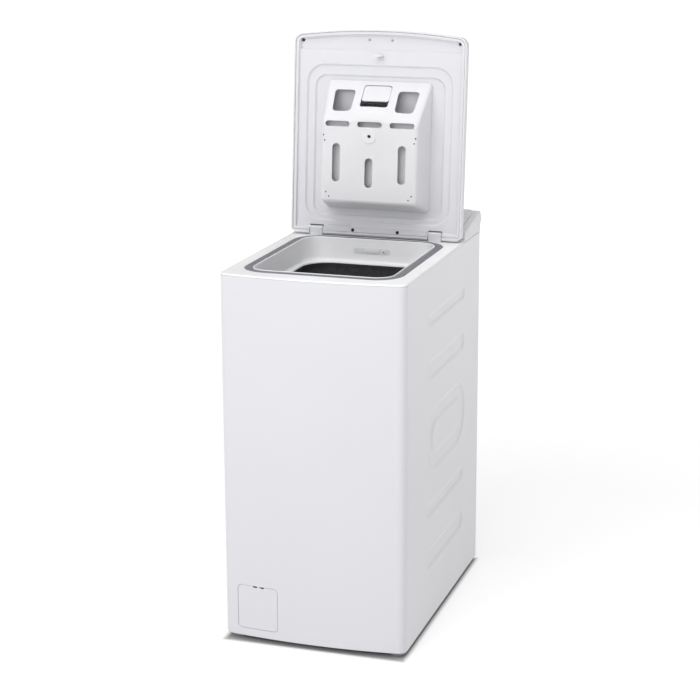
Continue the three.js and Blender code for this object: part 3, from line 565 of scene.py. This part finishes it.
def side_panel(side, name):
    step = 3.5
    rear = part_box(name)[1].y / MM
    front = SEAM / MM + 0.1
    columns = round((rear - front) / step)
    rows = round((panel_high - panel_low) / MM / step)
    ys = [front + (rear - front) * i / columns for i in range(columns + 1)]
    zs = [panel_low / MM + (panel_high - panel_low) / MM * j / rows for j in range(rows + 1)]
    x = half_width
    points = [(side * (x - press_depth(y, z)), y * MM, z * MM) for z in zs for y in ys]
    wide = columns + 1
    faces = [(j * wide + i, j * wide + i + 1, (j + 1) * wide + i + 1, (j + 1) * wide + i)
             for j in range(rows) for i in range(columns)]
    border = ([i for i in range(columns)] + [j * wide + columns for j in range(rows)]
              + [rows * wide + i for i in range(columns, 0, -1)] + [j * wide for j in range(rows, 0, -1)])
    inner = len(points)
    inset = side * (x - 3.2 * MM)
    points += [(inset, points[i][1], points[i][2]) for i in border]
    faces += [(border[k], border[k - 1], inner + k - 1 if k else inner + len(border) - 1, inner + k)
              for k in range(len(border))]
    faces.append(tuple(range(inner, inner + len(border))))
    new_piece(name + "_skin", mesh_from(name + "_skin", points, faces), "enamel", "cabinet", name, sharp=50)


# ---------------------------------------------------------------- top frame, well and seal
WELL = {"half": 151 * MM, "front": -250 * MM, "rear": 114 * MM, "corner": 37 * MM, "wall": 2.7 * MM}
THROAT = {"half": 141 * MM, "front": -235 * MM, "rear": 104 * MM, "corner": 60 * MM}
SEAL_WIDTH = 17.4 * MM
WELL_LOW = frame_low.z
FRAME_REAR = frame_high.y


def opening(shape, grow):
    return plan(shape["half"] + grow, shape["front"] - grow, shape["rear"] + grow,
                shape["corner"] + grow, shape["corner"] + grow, bowed=False)


def top_frame():
    """One moulding: the deck with its rounded edge, the seal's groove, and the well down to the throat."""
    edge = 3.2 * MM
    wall = WELL["wall"]
    low = panel_high + 0.3 * MM
    rings = [ring(cabinet_plan(0, FRAME_REAR), low)]
    rings += [ring(cabinet_plan(i, FRAME_REAR), DECK - edge + rise) for i, rise in fillet(edge, 6)]
    outer = wall + SEAL_WIDTH + 0.6 * MM
    rings += [ring(opening(WELL, outer + 0.5 * MM), DECK), ring(opening(WELL, outer), DECK - 0.5 * MM)]
    rings += [ring(opening(WELL, outer), DECK - 5 * MM), ring(opening(WELL, wall), DECK - 5 * MM)]
    rings += [ring(opening(WELL, wall), DECK + 0.1 * MM)]
    crest = 1.3 * MM
    rings += [ring(opening(WELL, wall - crest + crest * math.cos(math.radians(a))),
                   DECK + 0.1 * MM + crest * math.sin(math.radians(a))) for a in (30, 60, 90, 120, 150, 180)]
    rings += [ring(opening(WELL, -1.2 * MM), DECK - 22 * MM)]
    bend = 7 * MM
    floor = WELL_LOW + 3 * MM
    for angle in range(0, 91, 15):
        a = math.radians(angle)
        grow = -2.2 * MM - bend * (1 - math.cos(a))
        rings.append(ring(opening(WELL, grow), floor + bend * (1 - math.sin(a))))
    rings += [ring(opening(THROAT, 1.2 * MM), floor), ring(opening(THROAT, 0.3 * MM), floor - 0.4 * MM)]
    rings += [ring(opening(THROAT, 0), floor - 1.2 * MM), ring(opening(THROAT, 0), WELL_LOW)]
    rings += [ring(opening(WELL, wall), WELL_LOW), ring(opening(WELL, wall), DECK - 11 * MM)]
    rings += [ring(cabinet_plan(2.3 * MM, FRAME_REAR), DECK - 11 * MM)]
    rings += [ring(cabinet_plan(2.3 * MM, FRAME_REAR), low)]
    frame_mesh = loft("top_frame_moulding", rings, closed=True)
    latch_slot = block(-12 * MM, 12 * MM, WELL["front"] - 30 * MM, WELL["front"] + 6 * MM, 0.779, 0.793)
    # The top frame wears the lighter copy of white_plastic: painted light in the loading well
    new_piece("top_frame_moulding", cut(frame_mesh, latch_slot), "white_plastic", "cabinet", "top_frame",
              sharp=40, paint="white_plastic_painted_light")


def lid_seal():
    """A hollow-looking rubber bead with a raised inner lip and a shallow channel."""
    low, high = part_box("lid_seal")
    base = low.z
    inner = WELL["wall"] + 0.3 * MM
    outer = inner + SEAL_WIDTH
    top = high.z
    section = [(outer, base), (outer, top - 3.4 * MM), (outer - 0.7 * MM, top - 2.2 * MM),
               (outer - 2.0 * MM, top - 1.6 * MM), (outer - 4.2 * MM, top - 1.5 * MM),
               (outer - 5.2 * MM, top - 0.9 * MM), (outer - 7.0 * MM, top - 0.25 * MM),
               (outer - 9.0 * MM, top), (outer - 11.5 * MM, top - 0.2 * MM),
               (outer - 13.5 * MM, top - 0.9 * MM), (outer - 15.2 * MM, top - 2.0 * MM),
               (inner + 0.6 * MM, top - 3.0 * MM), (inner, top - 3.8 * MM), (inner, base)]
    rings = [ring(opening(WELL, grow), z) for grow, z in section]
    new_piece("lid_seal_bead", loft("lid_seal_bead", rings, closed=True), "seal_rubber", "cabinet",
              "lid_seal", sharp=50)


CLIP = {"half": 43 * MM, "low": 768 * MM, "high": 781 * MM, "corner": 6.4 * MM}
CLIP_MIDDLE = 774.5 * MM
CLIP_BOSS = {"x": 28 * MM, "radius": 5.4 * MM}
# Width of the grey rim round the clip plate, which paints the shadow gap at its edge
CLIP_SHADE_RIM = 1 * MM


def well_clip():
    """A pill-shaped plate on the well's rear wall, with a raised bar between two round bosses."""
    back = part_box("well_clip")[1].y

    def raised(name, outline, height):
        mesh = bevelled(prism(name, outline, back - height, back, UPRIGHT), 0.5 * MM, 2, 40)
        new_piece(name, mesh, "white_plastic", "cabinet", "well_clip")
    half, low, high, corner = (CLIP[key] for key in ("half", "low", "high", "corner"))
    edge = CLIP_SHADE_RIM
    # A thin grey rim under the plate's edge: a painted shadow gap round the clip
    shade_rim_outline = rounded(-half - edge, half + edge, low - edge, high + edge, corner + edge)
    rim = prism("clip_shade_rim", shade_rim_outline, back - 0.5 * MM, back, UPRIGHT)
    new_piece("clip_shade_rim", rim, "grey_plastic", "cabinet")
    raised("clip_plate", rounded(-half, half, low, high, corner), 1.6 * MM)
    bar = rounded(-17 * MM, 17 * MM, CLIP_MIDDLE - 3.5 * MM, CLIP_MIDDLE + 3.5 * MM, 1.5 * MM)
    raised("clip_bar", bar, 4.6 * MM)
    for side, name in ((-1, "left"), (1, "right")):
        boss = arc(side * CLIP_BOSS["x"], CLIP_MIDDLE, CLIP_BOSS["radius"], 0, 350, 35)
        raised(f"clip_boss_{name}", boss, 3.4 * MM)
    # The black pin in the right boss is a screw, and its black also paints the shade of the screw hole
    screw_outline = arc(CLIP_BOSS["x"], CLIP_MIDDLE, 1.6 * MM, 0, 345, 23)
    pin = prism("clip_screw_and_hole_shade", screw_outline, back - 3.8 * MM, back, UPRIGHT)
    new_piece("clip_screw_and_hole_shade", pin, "black_steel", "cabinet")


def bellows():
    """The throat's rubber sleeve, with two soft folds between the well and the tub's neck."""
    low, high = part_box("bellows")
    steps = 22
    neck = {"half": 126 * MM, "front": -196 * MM, "rear": 76 * MM, "corner": 48 * MM}

    def level(t, grow):
        mixed = {key: neck[key] + (THROAT[key] - neck[key]) * t for key in neck}
        wave = 3.2 * MM * (1 - math.cos(4 * math.pi * t)) / 2
        return ring(opening(mixed, grow + wave), low.z + (high.z - low.z) * t)
    inside = [level(i / steps, 0) for i in range(steps + 1)]
    outside = [level(i / steps, 3 * MM) for i in range(steps, -1, -1)]
    new_piece("bellows_sleeve", loft("bellows_sleeve", inside + outside, closed=True), "black_rubber",
              "cabinet", "bellows", sharp=60)


# ---------------------------------------------------------------- lid
hinge = Vector(joints["lid_hinge"]["pos_m"])
opened = math.radians(joints["lid_hinge"]["range_deg"][1])
LID_PLACE = Matrix.Translation(hinge) @ Matrix.Rotation(-opened, 4, "X")
LID = {"half": 198 * MM, "apex": -446 * MM, "rear": 7 * MM, "rim": -9 * MM, "top": 18 * MM}
FIELD = -1 * MM
HINGE_POCKET = (122 * MM, 154 * MM)
HINGE_ROLL = 11.7 * MM          # radius of the rolled rear edge about the hinge line


def lid_plan(inset):
    return plan(LID["half"], LID["apex"], LID["rear"], 22 * MM, 8 * MM, inset)


def on_lid(mesh):
    """Moves a mesh drawn in the closed lid's frame to where the open lid is."""
    mesh.transform(LID_PLACE)
    return mesh


def along(s):
    """The closed lid's y at a distance in millimetres from its rear edge."""
    return LID["rear"] - s * MM


def hinge_pockets():
    inner, outer = HINGE_POCKET
    return [block(min(side * inner, side * outer), max(side * inner, side * outer), -10.2 * MM,
                  HINGE_ROLL + 1 * MM, LID["rim"] - 1 * MM, 9 * MM) for side in (-1, 1)]


def lid_shell():
    """The outer cover: a crowned top, a rolled edge and a rounded rim around the liner."""
    rim, top = LID["rim"], LID["top"]
    roll = 7 * MM
    lip = 2.4 * MM
    rings = [ring(lid_plan(4.2 * MM), top - 3 * MM), ring(lid_plan(4.2 * MM), rim + lip)]
    rings += [ring(lid_plan(4.2 * MM - lip * (1 - math.cos(math.radians(a)))),
                   rim + lip - lip * math.sin(math.radians(a))) for a in (20, 45, 70, 90)]
    rings += [ring(lid_plan(1.8 * MM - 1.8 * MM * math.sin(math.radians(a))),
                   rim + 1.8 * MM * (1 - math.cos(math.radians(a)))) for a in (20, 45, 70, 90)]
    rings += [ring(lid_plan(i), top - roll + rise - 0.8 * MM) for i, rise in fillet(roll, 8)]
    rings += [ring(lid_plan(inset), top - 0.8 * MM + rise) for inset, rise in
              ((20 * MM, 0.25 * MM), (60 * MM, 0.55 * MM), (120 * MM, 0.75 * MM), (190 * MM, 0.8 * MM))]
    skin = loft("lid_shell_cover", rings, cap_first=True, cap_last=True)
    lean = math.degrees(math.asin(LID["rim"] / HINGE_ROLL))
    roll_section = [(3 * MM, -rim), (3 * MM, rim)] + arc(0, 0, HINGE_ROLL, lean, -lean, 16)
    roll_bar = prism("roll", roll_section, -190 * MM, 190 * MM, SIDEWAYS)
    shell = cut(cut(skin, roll_bar, operation="UNION"), *hinge_pockets())
    new_piece("lid_shell_cover", on_lid(shell), "white_plastic", "lid", "lid_shell", sharp=40)


FRONT_STEP = 406
RECESSES = [(165, 30, 372, 38, 4), (147, 42, 349, 24, 8)]      # half width, from, to, corner, depth


def recess(half, start, end, corner, grow):
    return plan(half * MM + grow, along(end) - grow, along(start) + grow, corner * MM + grow,
                corner * MM + grow, bowed=False)


def lid_liner():
    """The inner moulding: a raised border, a field, and two steps down to the dispenser."""
    border = LID["rim"] + 2.2 * MM
    rings = [ring(lid_plan(4.6 * MM), FIELD + 10.5 * MM), ring(lid_plan(4.6 * MM), border + 1 * MM)]
    rings += [ring(lid_plan(4.6 * MM + i), border + 1 * MM - rise) for i, rise in fillet(1 * MM, 3)]
    wall_top = 11 * MM
    soft = 1.6 * MM
    rings += [ring(lid_plan(wall_top - soft * (1 - math.sin(math.radians(a)))),
                   border + soft * (1 - math.cos(math.radians(a)))) for a in (0, 30, 60, 90)]
    rings += [ring(lid_plan(wall_top + 0.8 * MM + soft * (1 - math.cos(math.radians(a)))),
                   FIELD - soft + soft * math.sin(math.radians(a))) for a in (0, 30, 60, 90)]
    level = FIELD
    for half, start, end, corner, depth in RECESSES:
        rise = FIELD + depth * MM - level
        for t in (0, 0.12, 0.3, 0.5, 0.7, 0.88, 1):
            smooth = t * t * (3 - 2 * t)
            outline = recess(half, start, end, corner, (1 - t) * 5 * MM - 1 * MM)
            rings.append(ring(outline, level + rise * smooth))
        level += rise
    liner = loft("lid_liner_moulding", rings, cap_first=True, cap_last=True)
    band_low = FIELD + 4 * MM
    slope = [(along(FRONT_STEP - 1.5), FIELD - 8 * MM), (along(FRONT_STEP - 1.5), FIELD),
             (along(FRONT_STEP + 2.5), band_low), (-0.5, band_low), (-0.5, FIELD - 8 * MM)]
    band = cut(prism("band", slope, -0.25, 0.25, SIDEWAYS),
               loft("inside", [ring(lid_plan(15 * MM), -0.03), ring(lid_plan(12.5 * MM), 0.03)],
                    cap_first=True, cap_last=True), operation="INTERSECT")
    holes = [prism("screw_hole", arc(x * MM, along(s), 4.2 * MM, 0, 345, 23),
                   FIELD - 2 * MM, FIELD + 5.5 * MM)
             for x, s in ((-180, 426), (180, 426))]
    liner = cut(liner, band, *holes, *hinge_pockets())
    new_piece("lid_liner_moulding", on_lid(liner), "liner_plastic", "lid", "lid_liner", sharp=32)


def lid_strip():
    """The strip along the liner's rear edge, with two screw holes filled by black plugs that paint them dark,
    partly as black screw heads and partly as painted shade, and a shallow pad at its left.
    """
    strip = block(-118 * MM, 118 * MM, along(15), along(4.8), LID["rim"] + 1.2 * MM, FIELD + 1 * MM)
    holes = [prism("hole", arc(x * MM, along(9), 4.2 * MM, 0, 345, 23), -0.02, 0.02) for x in (-52, 52)]
    # Black plugs fill the screw holes: they stand for the black screw heads and paint the shade inside the holes
    for x in (-52, 52):
        plug = prism("plug", arc(x * MM, along(9), 3.7 * MM, 0, 345, 23),
                     LID["rim"] + 2 * MM, FIELD + 1 * MM)
        new_piece("strip_plug_screw_and_hole_shade", on_lid(plug), "black_steel", "lid")
    new_piece("lid_strip", on_lid(bevelled(cut(strip, *holes), 0.9 * MM, 3, 40)), "liner_plastic", "lid")
    pad = block(-112 * MM, -60 * MM, along(26), along(18), FIELD - 2.2 * MM, FIELD + 1 * MM)
    new_piece("lid_strip_pad", on_lid(bevelled(pad, 1 * MM, 3, 40)), "liner_plastic", "lid")


def screw(name, x, s, seat, radius, slot, *replaced):
    """A domed cross-head screw seen from under the closed lid."""
    profile = [(radius, seat), (radius, seat - 0.5 * MM), (radius * 0.85, seat - 1.0 * MM),
               (radius * 0.55, seat - 1.35 * MM), (radius * 0.25, seat - 1.5 * MM)]
    rings = [[Vector((x + px, s + py, z)) for px, py in arc(0, 0, r, 0, 345, 23)] for r, z in profile]
    head = loft(name, rings, cap_first=True, cap_last=True)
    arm = radius * 0.6
    bar = radius * 0.13
    recess_depth = seat - 0.8 * MM
    head = cut(head, block(x - arm, x + arm, s - bar, s + bar, seat - 3 * MM, recess_depth),
               block(x - bar, x + bar, s - arm, s + arm, seat - 3 * MM, recess_depth))
    new_piece(name, on_lid(head), slot, "lid", *replaced)


def lid_screws():
    seat = FIELD + 5.4 * MM
    radius = 3.3 * MM
    for side, name in ((-1, "left"), (1, "right")):
        screw(f"screw_front_{name}", side * 180 * MM, along(426), seat, radius, "black_steel",
              f"lid_screw_front_{name}")
    for side, name in ((-1, "left"), (1, "right")):
        screw(f"screw_rear_{name}", side * 52 * MM, along(9), FIELD + 1 * MM, radius, "black_steel",
              f"lid_screw_rear_{name}")
    for side, name in ((-1, "left"), (1, "right")):
        screw(f"screw_centre_{name}", side * 26 * MM, along(430), FIELD + 4.2 * MM, 3 * MM,
              "grey_plastic")


# ---------------------------------------------------------------- detergent dispenser
TRAY_BACK = FIELD + 7.7 * MM
TRAY_FACE = -67 * MM
TRAY_WALL = 2.2 * MM
SLOPE_TOP = Vector((0, along(338), 3 * MM))
SLOPE_END = Vector((0, along(252), TRAY_FACE))
slope_down = (SLOPE_END - SLOPE_TOP).normalized()
slope_in = Vector((1, 0, 0)).cross(slope_down)
SLOPE = Matrix.Translation(SLOPE_TOP) @ Matrix((
    (1, 0, 0), (0, slope_down.y, slope_in.y), (0, slope_down.z, slope_in.z))).to_4x4()


def tray_form(name, inset, back):
    """A tapering, round-cornered box, its upper end cut back by a slope with an arched lower ridge."""
    face = TRAY_FACE + inset
    soft = max(7 * MM - inset, 1 * MM)
    arch = 16 * MM

    def level(z, shrink):
        t = (z - TRAY_FACE) / (TRAY_BACK - TRAY_FACE)
        u = min(max((z - TRAY_FACE) / (SLOPE_TOP.z - TRAY_FACE), 0), 1)
        half = (109 + 10.5 * t) * MM - inset
        front = max(along(252 + 88 * u) + 1.6 * inset, along(340) + inset)
        rear = along(76 - 20 * t) - inset
        outline = plan(half, front, rear, 10 * MM, 10 * MM, shrink, bowed=False)
        rise = []
        for x, y in outline:
            near = min(max((rear - y) / (rear - front), 0), 1) ** 6
            lift = 0.5 * (1 + math.cos(math.pi * min(abs(x) / (85 * MM), 1)))
            rise.append((x, y - arch * (1 - u) ** 2 * near * lift))
        return ring(rise, z)
    rings = [level(back, 0)]
    rings += [level(z, 0) for z in (SLOPE_TOP.z + inset, SLOPE_TOP.z - 3 * MM) if z < back]
    steps = 8
    top = SLOPE_TOP.z - 3 * MM
    rings += [level(top + (face + soft - top) * i / steps, 0) for i in range(1, steps + 1)]
    rings += [level(face + soft - rise, shrink) for shrink, rise in fillet(soft, 6)[1:]]
    return loft(name, rings, cap_first=True, cap_last=True)


FACE_SLOTS = [(-73.5, 248, 28, 6), (0, 248, 28, 6), (73.5, 248, 28, 6),
              (-75, 163, 9, 42), (0, 143, 9, 32), (75, 163, 9, 42)]
FACE_PINS = [(-105, 222.5), (-102, 211), (105, 222), (102, 211),
             (-97, 97.5), (-90, 88), (99, 96.5), (92, 87.5)]
BOSS_S = 222.5
HATCH = {"half": 32 * MM, "top": 9 * MM, "low": 71 * MM}


def dispenser_tray():
    shell = cut(tray_form("tray_outer", 0, TRAY_BACK),
                tray_form("tray_inner", TRAY_WALL, TRAY_BACK + 1 * MM))
    for side in (-1, 1):
        divider = cut(block(side * 39 * MM - 1 * MM, side * 39 * MM + 1 * MM, along(339), along(57),
                            TRAY_FACE + 0.5 * MM, TRAY_BACK),
                      tray_form("limit", 1 * MM, TRAY_BACK + 1 * MM),
                      operation="INTERSECT")
        shell = cut(shell, divider, operation="UNION")
    cutters = []
    for side in (-1, 1):
        corners = [(49, 23), (97.5, 23), (92.5, 82), (50, 82)]
        window = [(side * u * MM, v * MM) for u, v in corners]
        cutters.append(bevelled_window(window, 10 * MM))
    hatchway = rounded(-HATCH["half"], HATCH["half"], HATCH["top"], HATCH["low"], 7 * MM)
    cutters.append(prism("hatch_cut", hatchway, -20 * MM, 9 * MM, SLOPE))
    for x, s, half_x, half_s in FACE_SLOTS:
        radius = min(half_x, half_s) * MM * 0.99
        outline = rounded((x - half_x) * MM, (x + half_x) * MM, along(s + half_s), along(s - half_s),
                          radius)
        cutters.append(prism("slot", outline, TRAY_FACE - 5 * MM, TRAY_FACE + 9 * MM))
    boss = prism("boss", arc(0, along(BOSS_S), 16 * MM, 0, 355, 47),
                 TRAY_FACE - 1.8 * MM, TRAY_FACE + 1 * MM)
    shell = cut(shell, bevelled(boss, 1.2 * MM, 4, 40), operation="UNION")
    cutters.append(prism("boss_hole", arc(0, along(BOSS_S), 4 * MM, 0, 345, 23), TRAY_FACE - 5 * MM,
                         TRAY_FACE + 1 * MM))
    for x, s in FACE_PINS:
        cutters.append(prism("pin_hole", arc(x * MM, along(s), 1.7 * MM, 0, 330, 11), TRAY_FACE - 3 * MM,
                             TRAY_FACE + 9 * MM))
        plug = prism("pin", arc(x * MM, along(s), 1.7 * MM, 0, 330, 11),
                     TRAY_FACE + 0.6 * MM, TRAY_FACE + 2 * MM)
        new_piece("dispenser_pin", on_lid(plug), "black_steel", "lid")
    shell = cut(shell, *cutters)
    shell = evaluated(shell, ("BEVEL", {"width": 0.7 * MM, "segments": 2, "limit_method": "ANGLE",
                                        "angle_limit": math.radians(50)}))
    new_piece("dispenser_tray_shell", on_lid(shell), "white_plastic", "lid", "dispenser_tray", sharp=32)
    backing = block(-104 * MM, 104 * MM, along(258), along(112),
                    TRAY_FACE + 18 * MM, TRAY_FACE + 19.5 * MM)
    new_piece("dispenser_inner_wall", on_lid(backing), "white_plastic", "lid")
    screw("dispenser_screw", 0, along(BOSS_S), TRAY_FACE + 1 * MM, 3.2 * MM, "black_steel")


def bevelled_window(corners, radius):
    """A four-cornered window with rounded corners, as a cutter through the tray's slope."""
    outline = []
    count = len(corners)
    for i, corner in enumerate(corners):
        here = Vector(corner)
        before = (Vector(corners[i - 1]) - here).normalized()
        after = (Vector(corners[(i + 1) % count]) - here).normalized()
        start, end = here + before * radius, here + after * radius
        outline += [tuple(start.lerp(here, t).lerp(here.lerp(end, t), t)) for t in (0, 0.25, 0.5, 0.75, 1)]
    return prism("window", outline, -20 * MM, 9 * MM, SLOPE)


def softener_hatch():
    """The small flap over the softener opening, with a rolled edge, riding on its own hinge."""
    half = HATCH["half"] - 0.8 * MM
    outline = rounded(-half, half, HATCH["top"] + 1.7 * MM, 53 * MM, 7 * MM)
    plate = prism("hatch", outline, -0.8 * MM, 1.4 * MM, SLOPE)
    new_piece("softener_hatch_plate", on_lid(bevelled(plate, 0.7 * MM, 3, 40)), "white_plastic", "hatch",
              "softener_hatch")
    lip = prism("lip", rounded(-29 * MM, 29 * MM, 50 * MM, 53 * MM, 1 * MM), -1.8 * MM, -0.6 * MM, SLOPE)
    new_piece("softener_hatch_lip", on_lid(bevelled(lip, 0.4 * MM, 2, 40)), "white_plastic", "hatch")


# ---------------------------------------------------------------- carried-over nodes with softened edges
def softened(node, width, segments=2, angle=35):
    """A CAD node's own shape with its flat facets joined and its edges rounded."""
    source = nodes[node].data
    work = bmesh.new()
    work.from_mesh(source)
    bmesh.ops.remove_doubles(work, verts=work.verts, dist=1e-6)
    bmesh.ops.dissolve_limit(work, angle_limit=math.radians(1.5), verts=work.verts, edges=work.edges)
    mesh = bpy.data.meshes.new(node + "_soft")
    work.to_mesh(mesh)
    work.free()
    new_piece(node + "_soft", bevelled(mesh, width, segments, angle), slot_of[node], body_of[node], node,
              sharp=30)


def lathe(name, profile, place, steps=48):
    """A turned piece: rings of [radius, height] about the place matrix's Z axis."""
    last = 360 - 360 / steps
    rings = [[place @ Vector((x, y, h)) for x, y in arc(0, 0, max(r, 0.0001), 0, last, steps - 1)]
             for r, h in profile]
    return loft(name, rings, cap_first=True, cap_last=True)


def feet():
    for name in ("front_left", "front_right", "rear_left", "rear_right"):
        node = f"foot_{name}"
        low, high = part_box(node)
        place = Matrix.Translation(((low.x + high.x) / 2, (low.y + high.y) / 2, low.z))
        profile = [(16.5, 0), (17.6, 0.4), (18, 1.4), (18, 5), (17.4, 6.2), (15, 8), (11, 8.6), (8, 8.8),
                   (7.6, 9.5), (8.1, 10), (7.6, 10.5), (8.1, 11), (7.6, 11.5), (8.1, 12), (7.8, 13.6)]
        pad = lathe(node + "_pad", [(r * MM, h * MM) for r, h in profile], place)
        new_piece(node + "_pad", pad, "grey_plastic", "cabinet", node)


# ---------------------------------------------------------------- console
def console():
    """The rear housing: its section swept across the machine, with rounded edges."""
    low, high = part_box("console_housing")
    rear = high.y
    section = [(150.3, 796.3), (300.5, 796.3), (300.5, 812), (rear / MM, 821), (rear / MM - 2, 827),
               (302, 843), (296, 845), (190, 823), (175, 819.5), (170, 815), (166, 800), (150.3, 800)]
    outline = [(y * MM, z * MM) for y, z in section]
    housing = prism("console_skin", outline, low.x, high.x, SIDEWAYS)
    new_piece("console_skin", bevelled(housing, 1.8 * MM, 4, 25), "white_plastic", "cabinet",
              "console_housing", sharp=40)


def deck_matrix():
    """The console's sloping top: u across, v up the slope, w out of it."""
    axis = Vector(joints["knob_turn"]["axis"])
    across = Vector((1, 0, 0))
    upward = axis.cross(across)
    turn = Matrix((across, upward, axis)).transposed().to_4x4()
    return turn


def programme_knob():
    """The dial: a flared skirt, a ribbed grip and a raised pointer."""
    place = Matrix.Translation(Vector(joints["knob_turn"]["pos_m"])) @ deck_matrix()
    skirt = [(0.1, -14), (5, -14), (5, -8), (19, -8), (20, -7.6), (20, -5), (17.5, -3.6)]
    grip = [(16.2, -3), (15.9, 4), (15.2, 6.4), (14, 7.6), (12.5, 8), (0.1, 8)]
    steps = 144
    rings = []
    for r, h in skirt + grip:
        ribbed = -3 <= h <= 6.4 and r < 17
        row = []
        for i in range(steps):
            a = 2 * math.pi * i / steps
            rib = 0.35 * math.cos(36 * a) if ribbed else 0
            reach = (r + rib) * MM
            row.append(place @ Vector((reach * math.cos(a), reach * math.sin(a), h * MM)))
        rings.append(row)
    body = loft("programme_dial", rings, cap_first=True, cap_last=True)
    new_piece("programme_dial", body, "grey_plastic", "knob", "programme_knob", sharp=40)
    pointer = prism("dial_pointer", rounded(-0.9 * MM, 0.9 * MM, 5 * MM, 13.5 * MM, 0.85 * MM, 4),
                    7.6 * MM, 8.5 * MM, place)
    new_piece("dial_pointer", pointer, "white_plastic", "knob")


# Carried-over nodes that need only their edges rounded, with the radius of the rounding in millimetres
SOFTENED = {
    "lid_latch": 0.5, "siphon_comb": 0.3, "lid_lock": 0.8,
    "hinge_bracket_left": 0.8, "hinge_bracket_right": 0.8,
    "control_fascia": 0.6, "display_window": 0.5, "button_1": 0.9, "button_2": 0.9, "button_3": 0.9,
    "rear_panel": 0.4, "base_frame": 0.8, "pump_filter_knob": 1.0,
    "inlet_valve": 0.8, "drain_collar": 0.7, "cable_gland": 0.7,
    "drum_flap_front": 0.3, "drum_flap_rear": 0.3,
}


# ---------------------------------------------------------------- floor
FLOOR_LEVEL = -0.0004            # just under the feet
FLOOR_COLOUR = (0.5, 0.5, 0.5)
FLOOR_GLOW = 0.62
FLOOR_SHADE = (0.195, 0.303)    # half size of the patch under the machine that gives off no light: a painted shadow under the cabinet


def floor():
    """A pale glowing floor, with a painted shadow under the machine, large enough to reach past the edge of every
    view.
    """
    reach = 60.0
    corners = ((-reach, -reach), (reach, -reach), (reach, reach), (-reach, reach))
    points = [(x, y, FLOOR_LEVEL) for x, y in corners]
    faces = [(0, 1, 2, 3)]
    mesh = mesh_from("floor", points, faces)
    obj = bpy.data.objects.new("floor", mesh)
    bpy.context.scene.collection.objects.link(obj)
    obj.data.materials.append(floor_paint())


def floor_paint():
    paint = Paint("floor", FLOOR_COLOUR, 0.9)
    paint.vary_roughness(paint.noise(0.4, 3), 0.86, 0.94)
    paint.shader.inputs["Emission Color"].default_value = (1, 1, 1, 1)
    away = paint.node("ShaderNodeVectorMath", operation="ABSOLUTE")
    paint.link(paint.place.outputs["Object"], away.inputs[0])
    past = paint.node("ShaderNodeVectorMath", operation="SUBTRACT")
    past.inputs[1].default_value = (*FLOOR_SHADE, 0)
    paint.link(away.outputs["Vector"], past.inputs[0])
    apart = paint.node("ShaderNodeSeparateXYZ")
    paint.link(past.outputs["Vector"], apart.inputs["Vector"])
    furthest = paint.node("ShaderNodeMath", operation="MAXIMUM")
    paint.link(apart.outputs["X"], furthest.inputs[0])
    paint.link(apart.outputs["Y"], furthest.inputs[1])
    # The glow is nil under the machine and rises from 0.6 m to 4 m away: a painted shadow under the cabinet and
    # painted shade round it
    glow = paint.node("ShaderNodeMath", operation="ADD")
    paint.link(paint.ramp(furthest.outputs["Value"], 0, FLOOR_GLOW, 0, 0.012), glow.inputs[0])
    paint.link(paint.ramp(furthest.outputs["Value"], 0, 1 - FLOOR_GLOW, 0.6, 4), glow.inputs[1])
    paint.link(glow.outputs["Value"], paint.shader.inputs["Emission Strength"])
    return paint.material


# ---------------------------------------------------------------- everything
make_camera()
make_light()
floor()
paint_cad_nodes()
front_panel()
filter_door()
side_panel(-1, "side_panel_left")
side_panel(1, "side_panel_right")
top_frame()
lid_seal()
well_clip()
bellows()
lid_shell()
lid_liner()
lid_strip()
lid_screws()
dispenser_tray()
softener_hatch()
console()
programme_knob()
feet()
for carried, rounding in SOFTENED.items():
    softened(carried, rounding * MM)
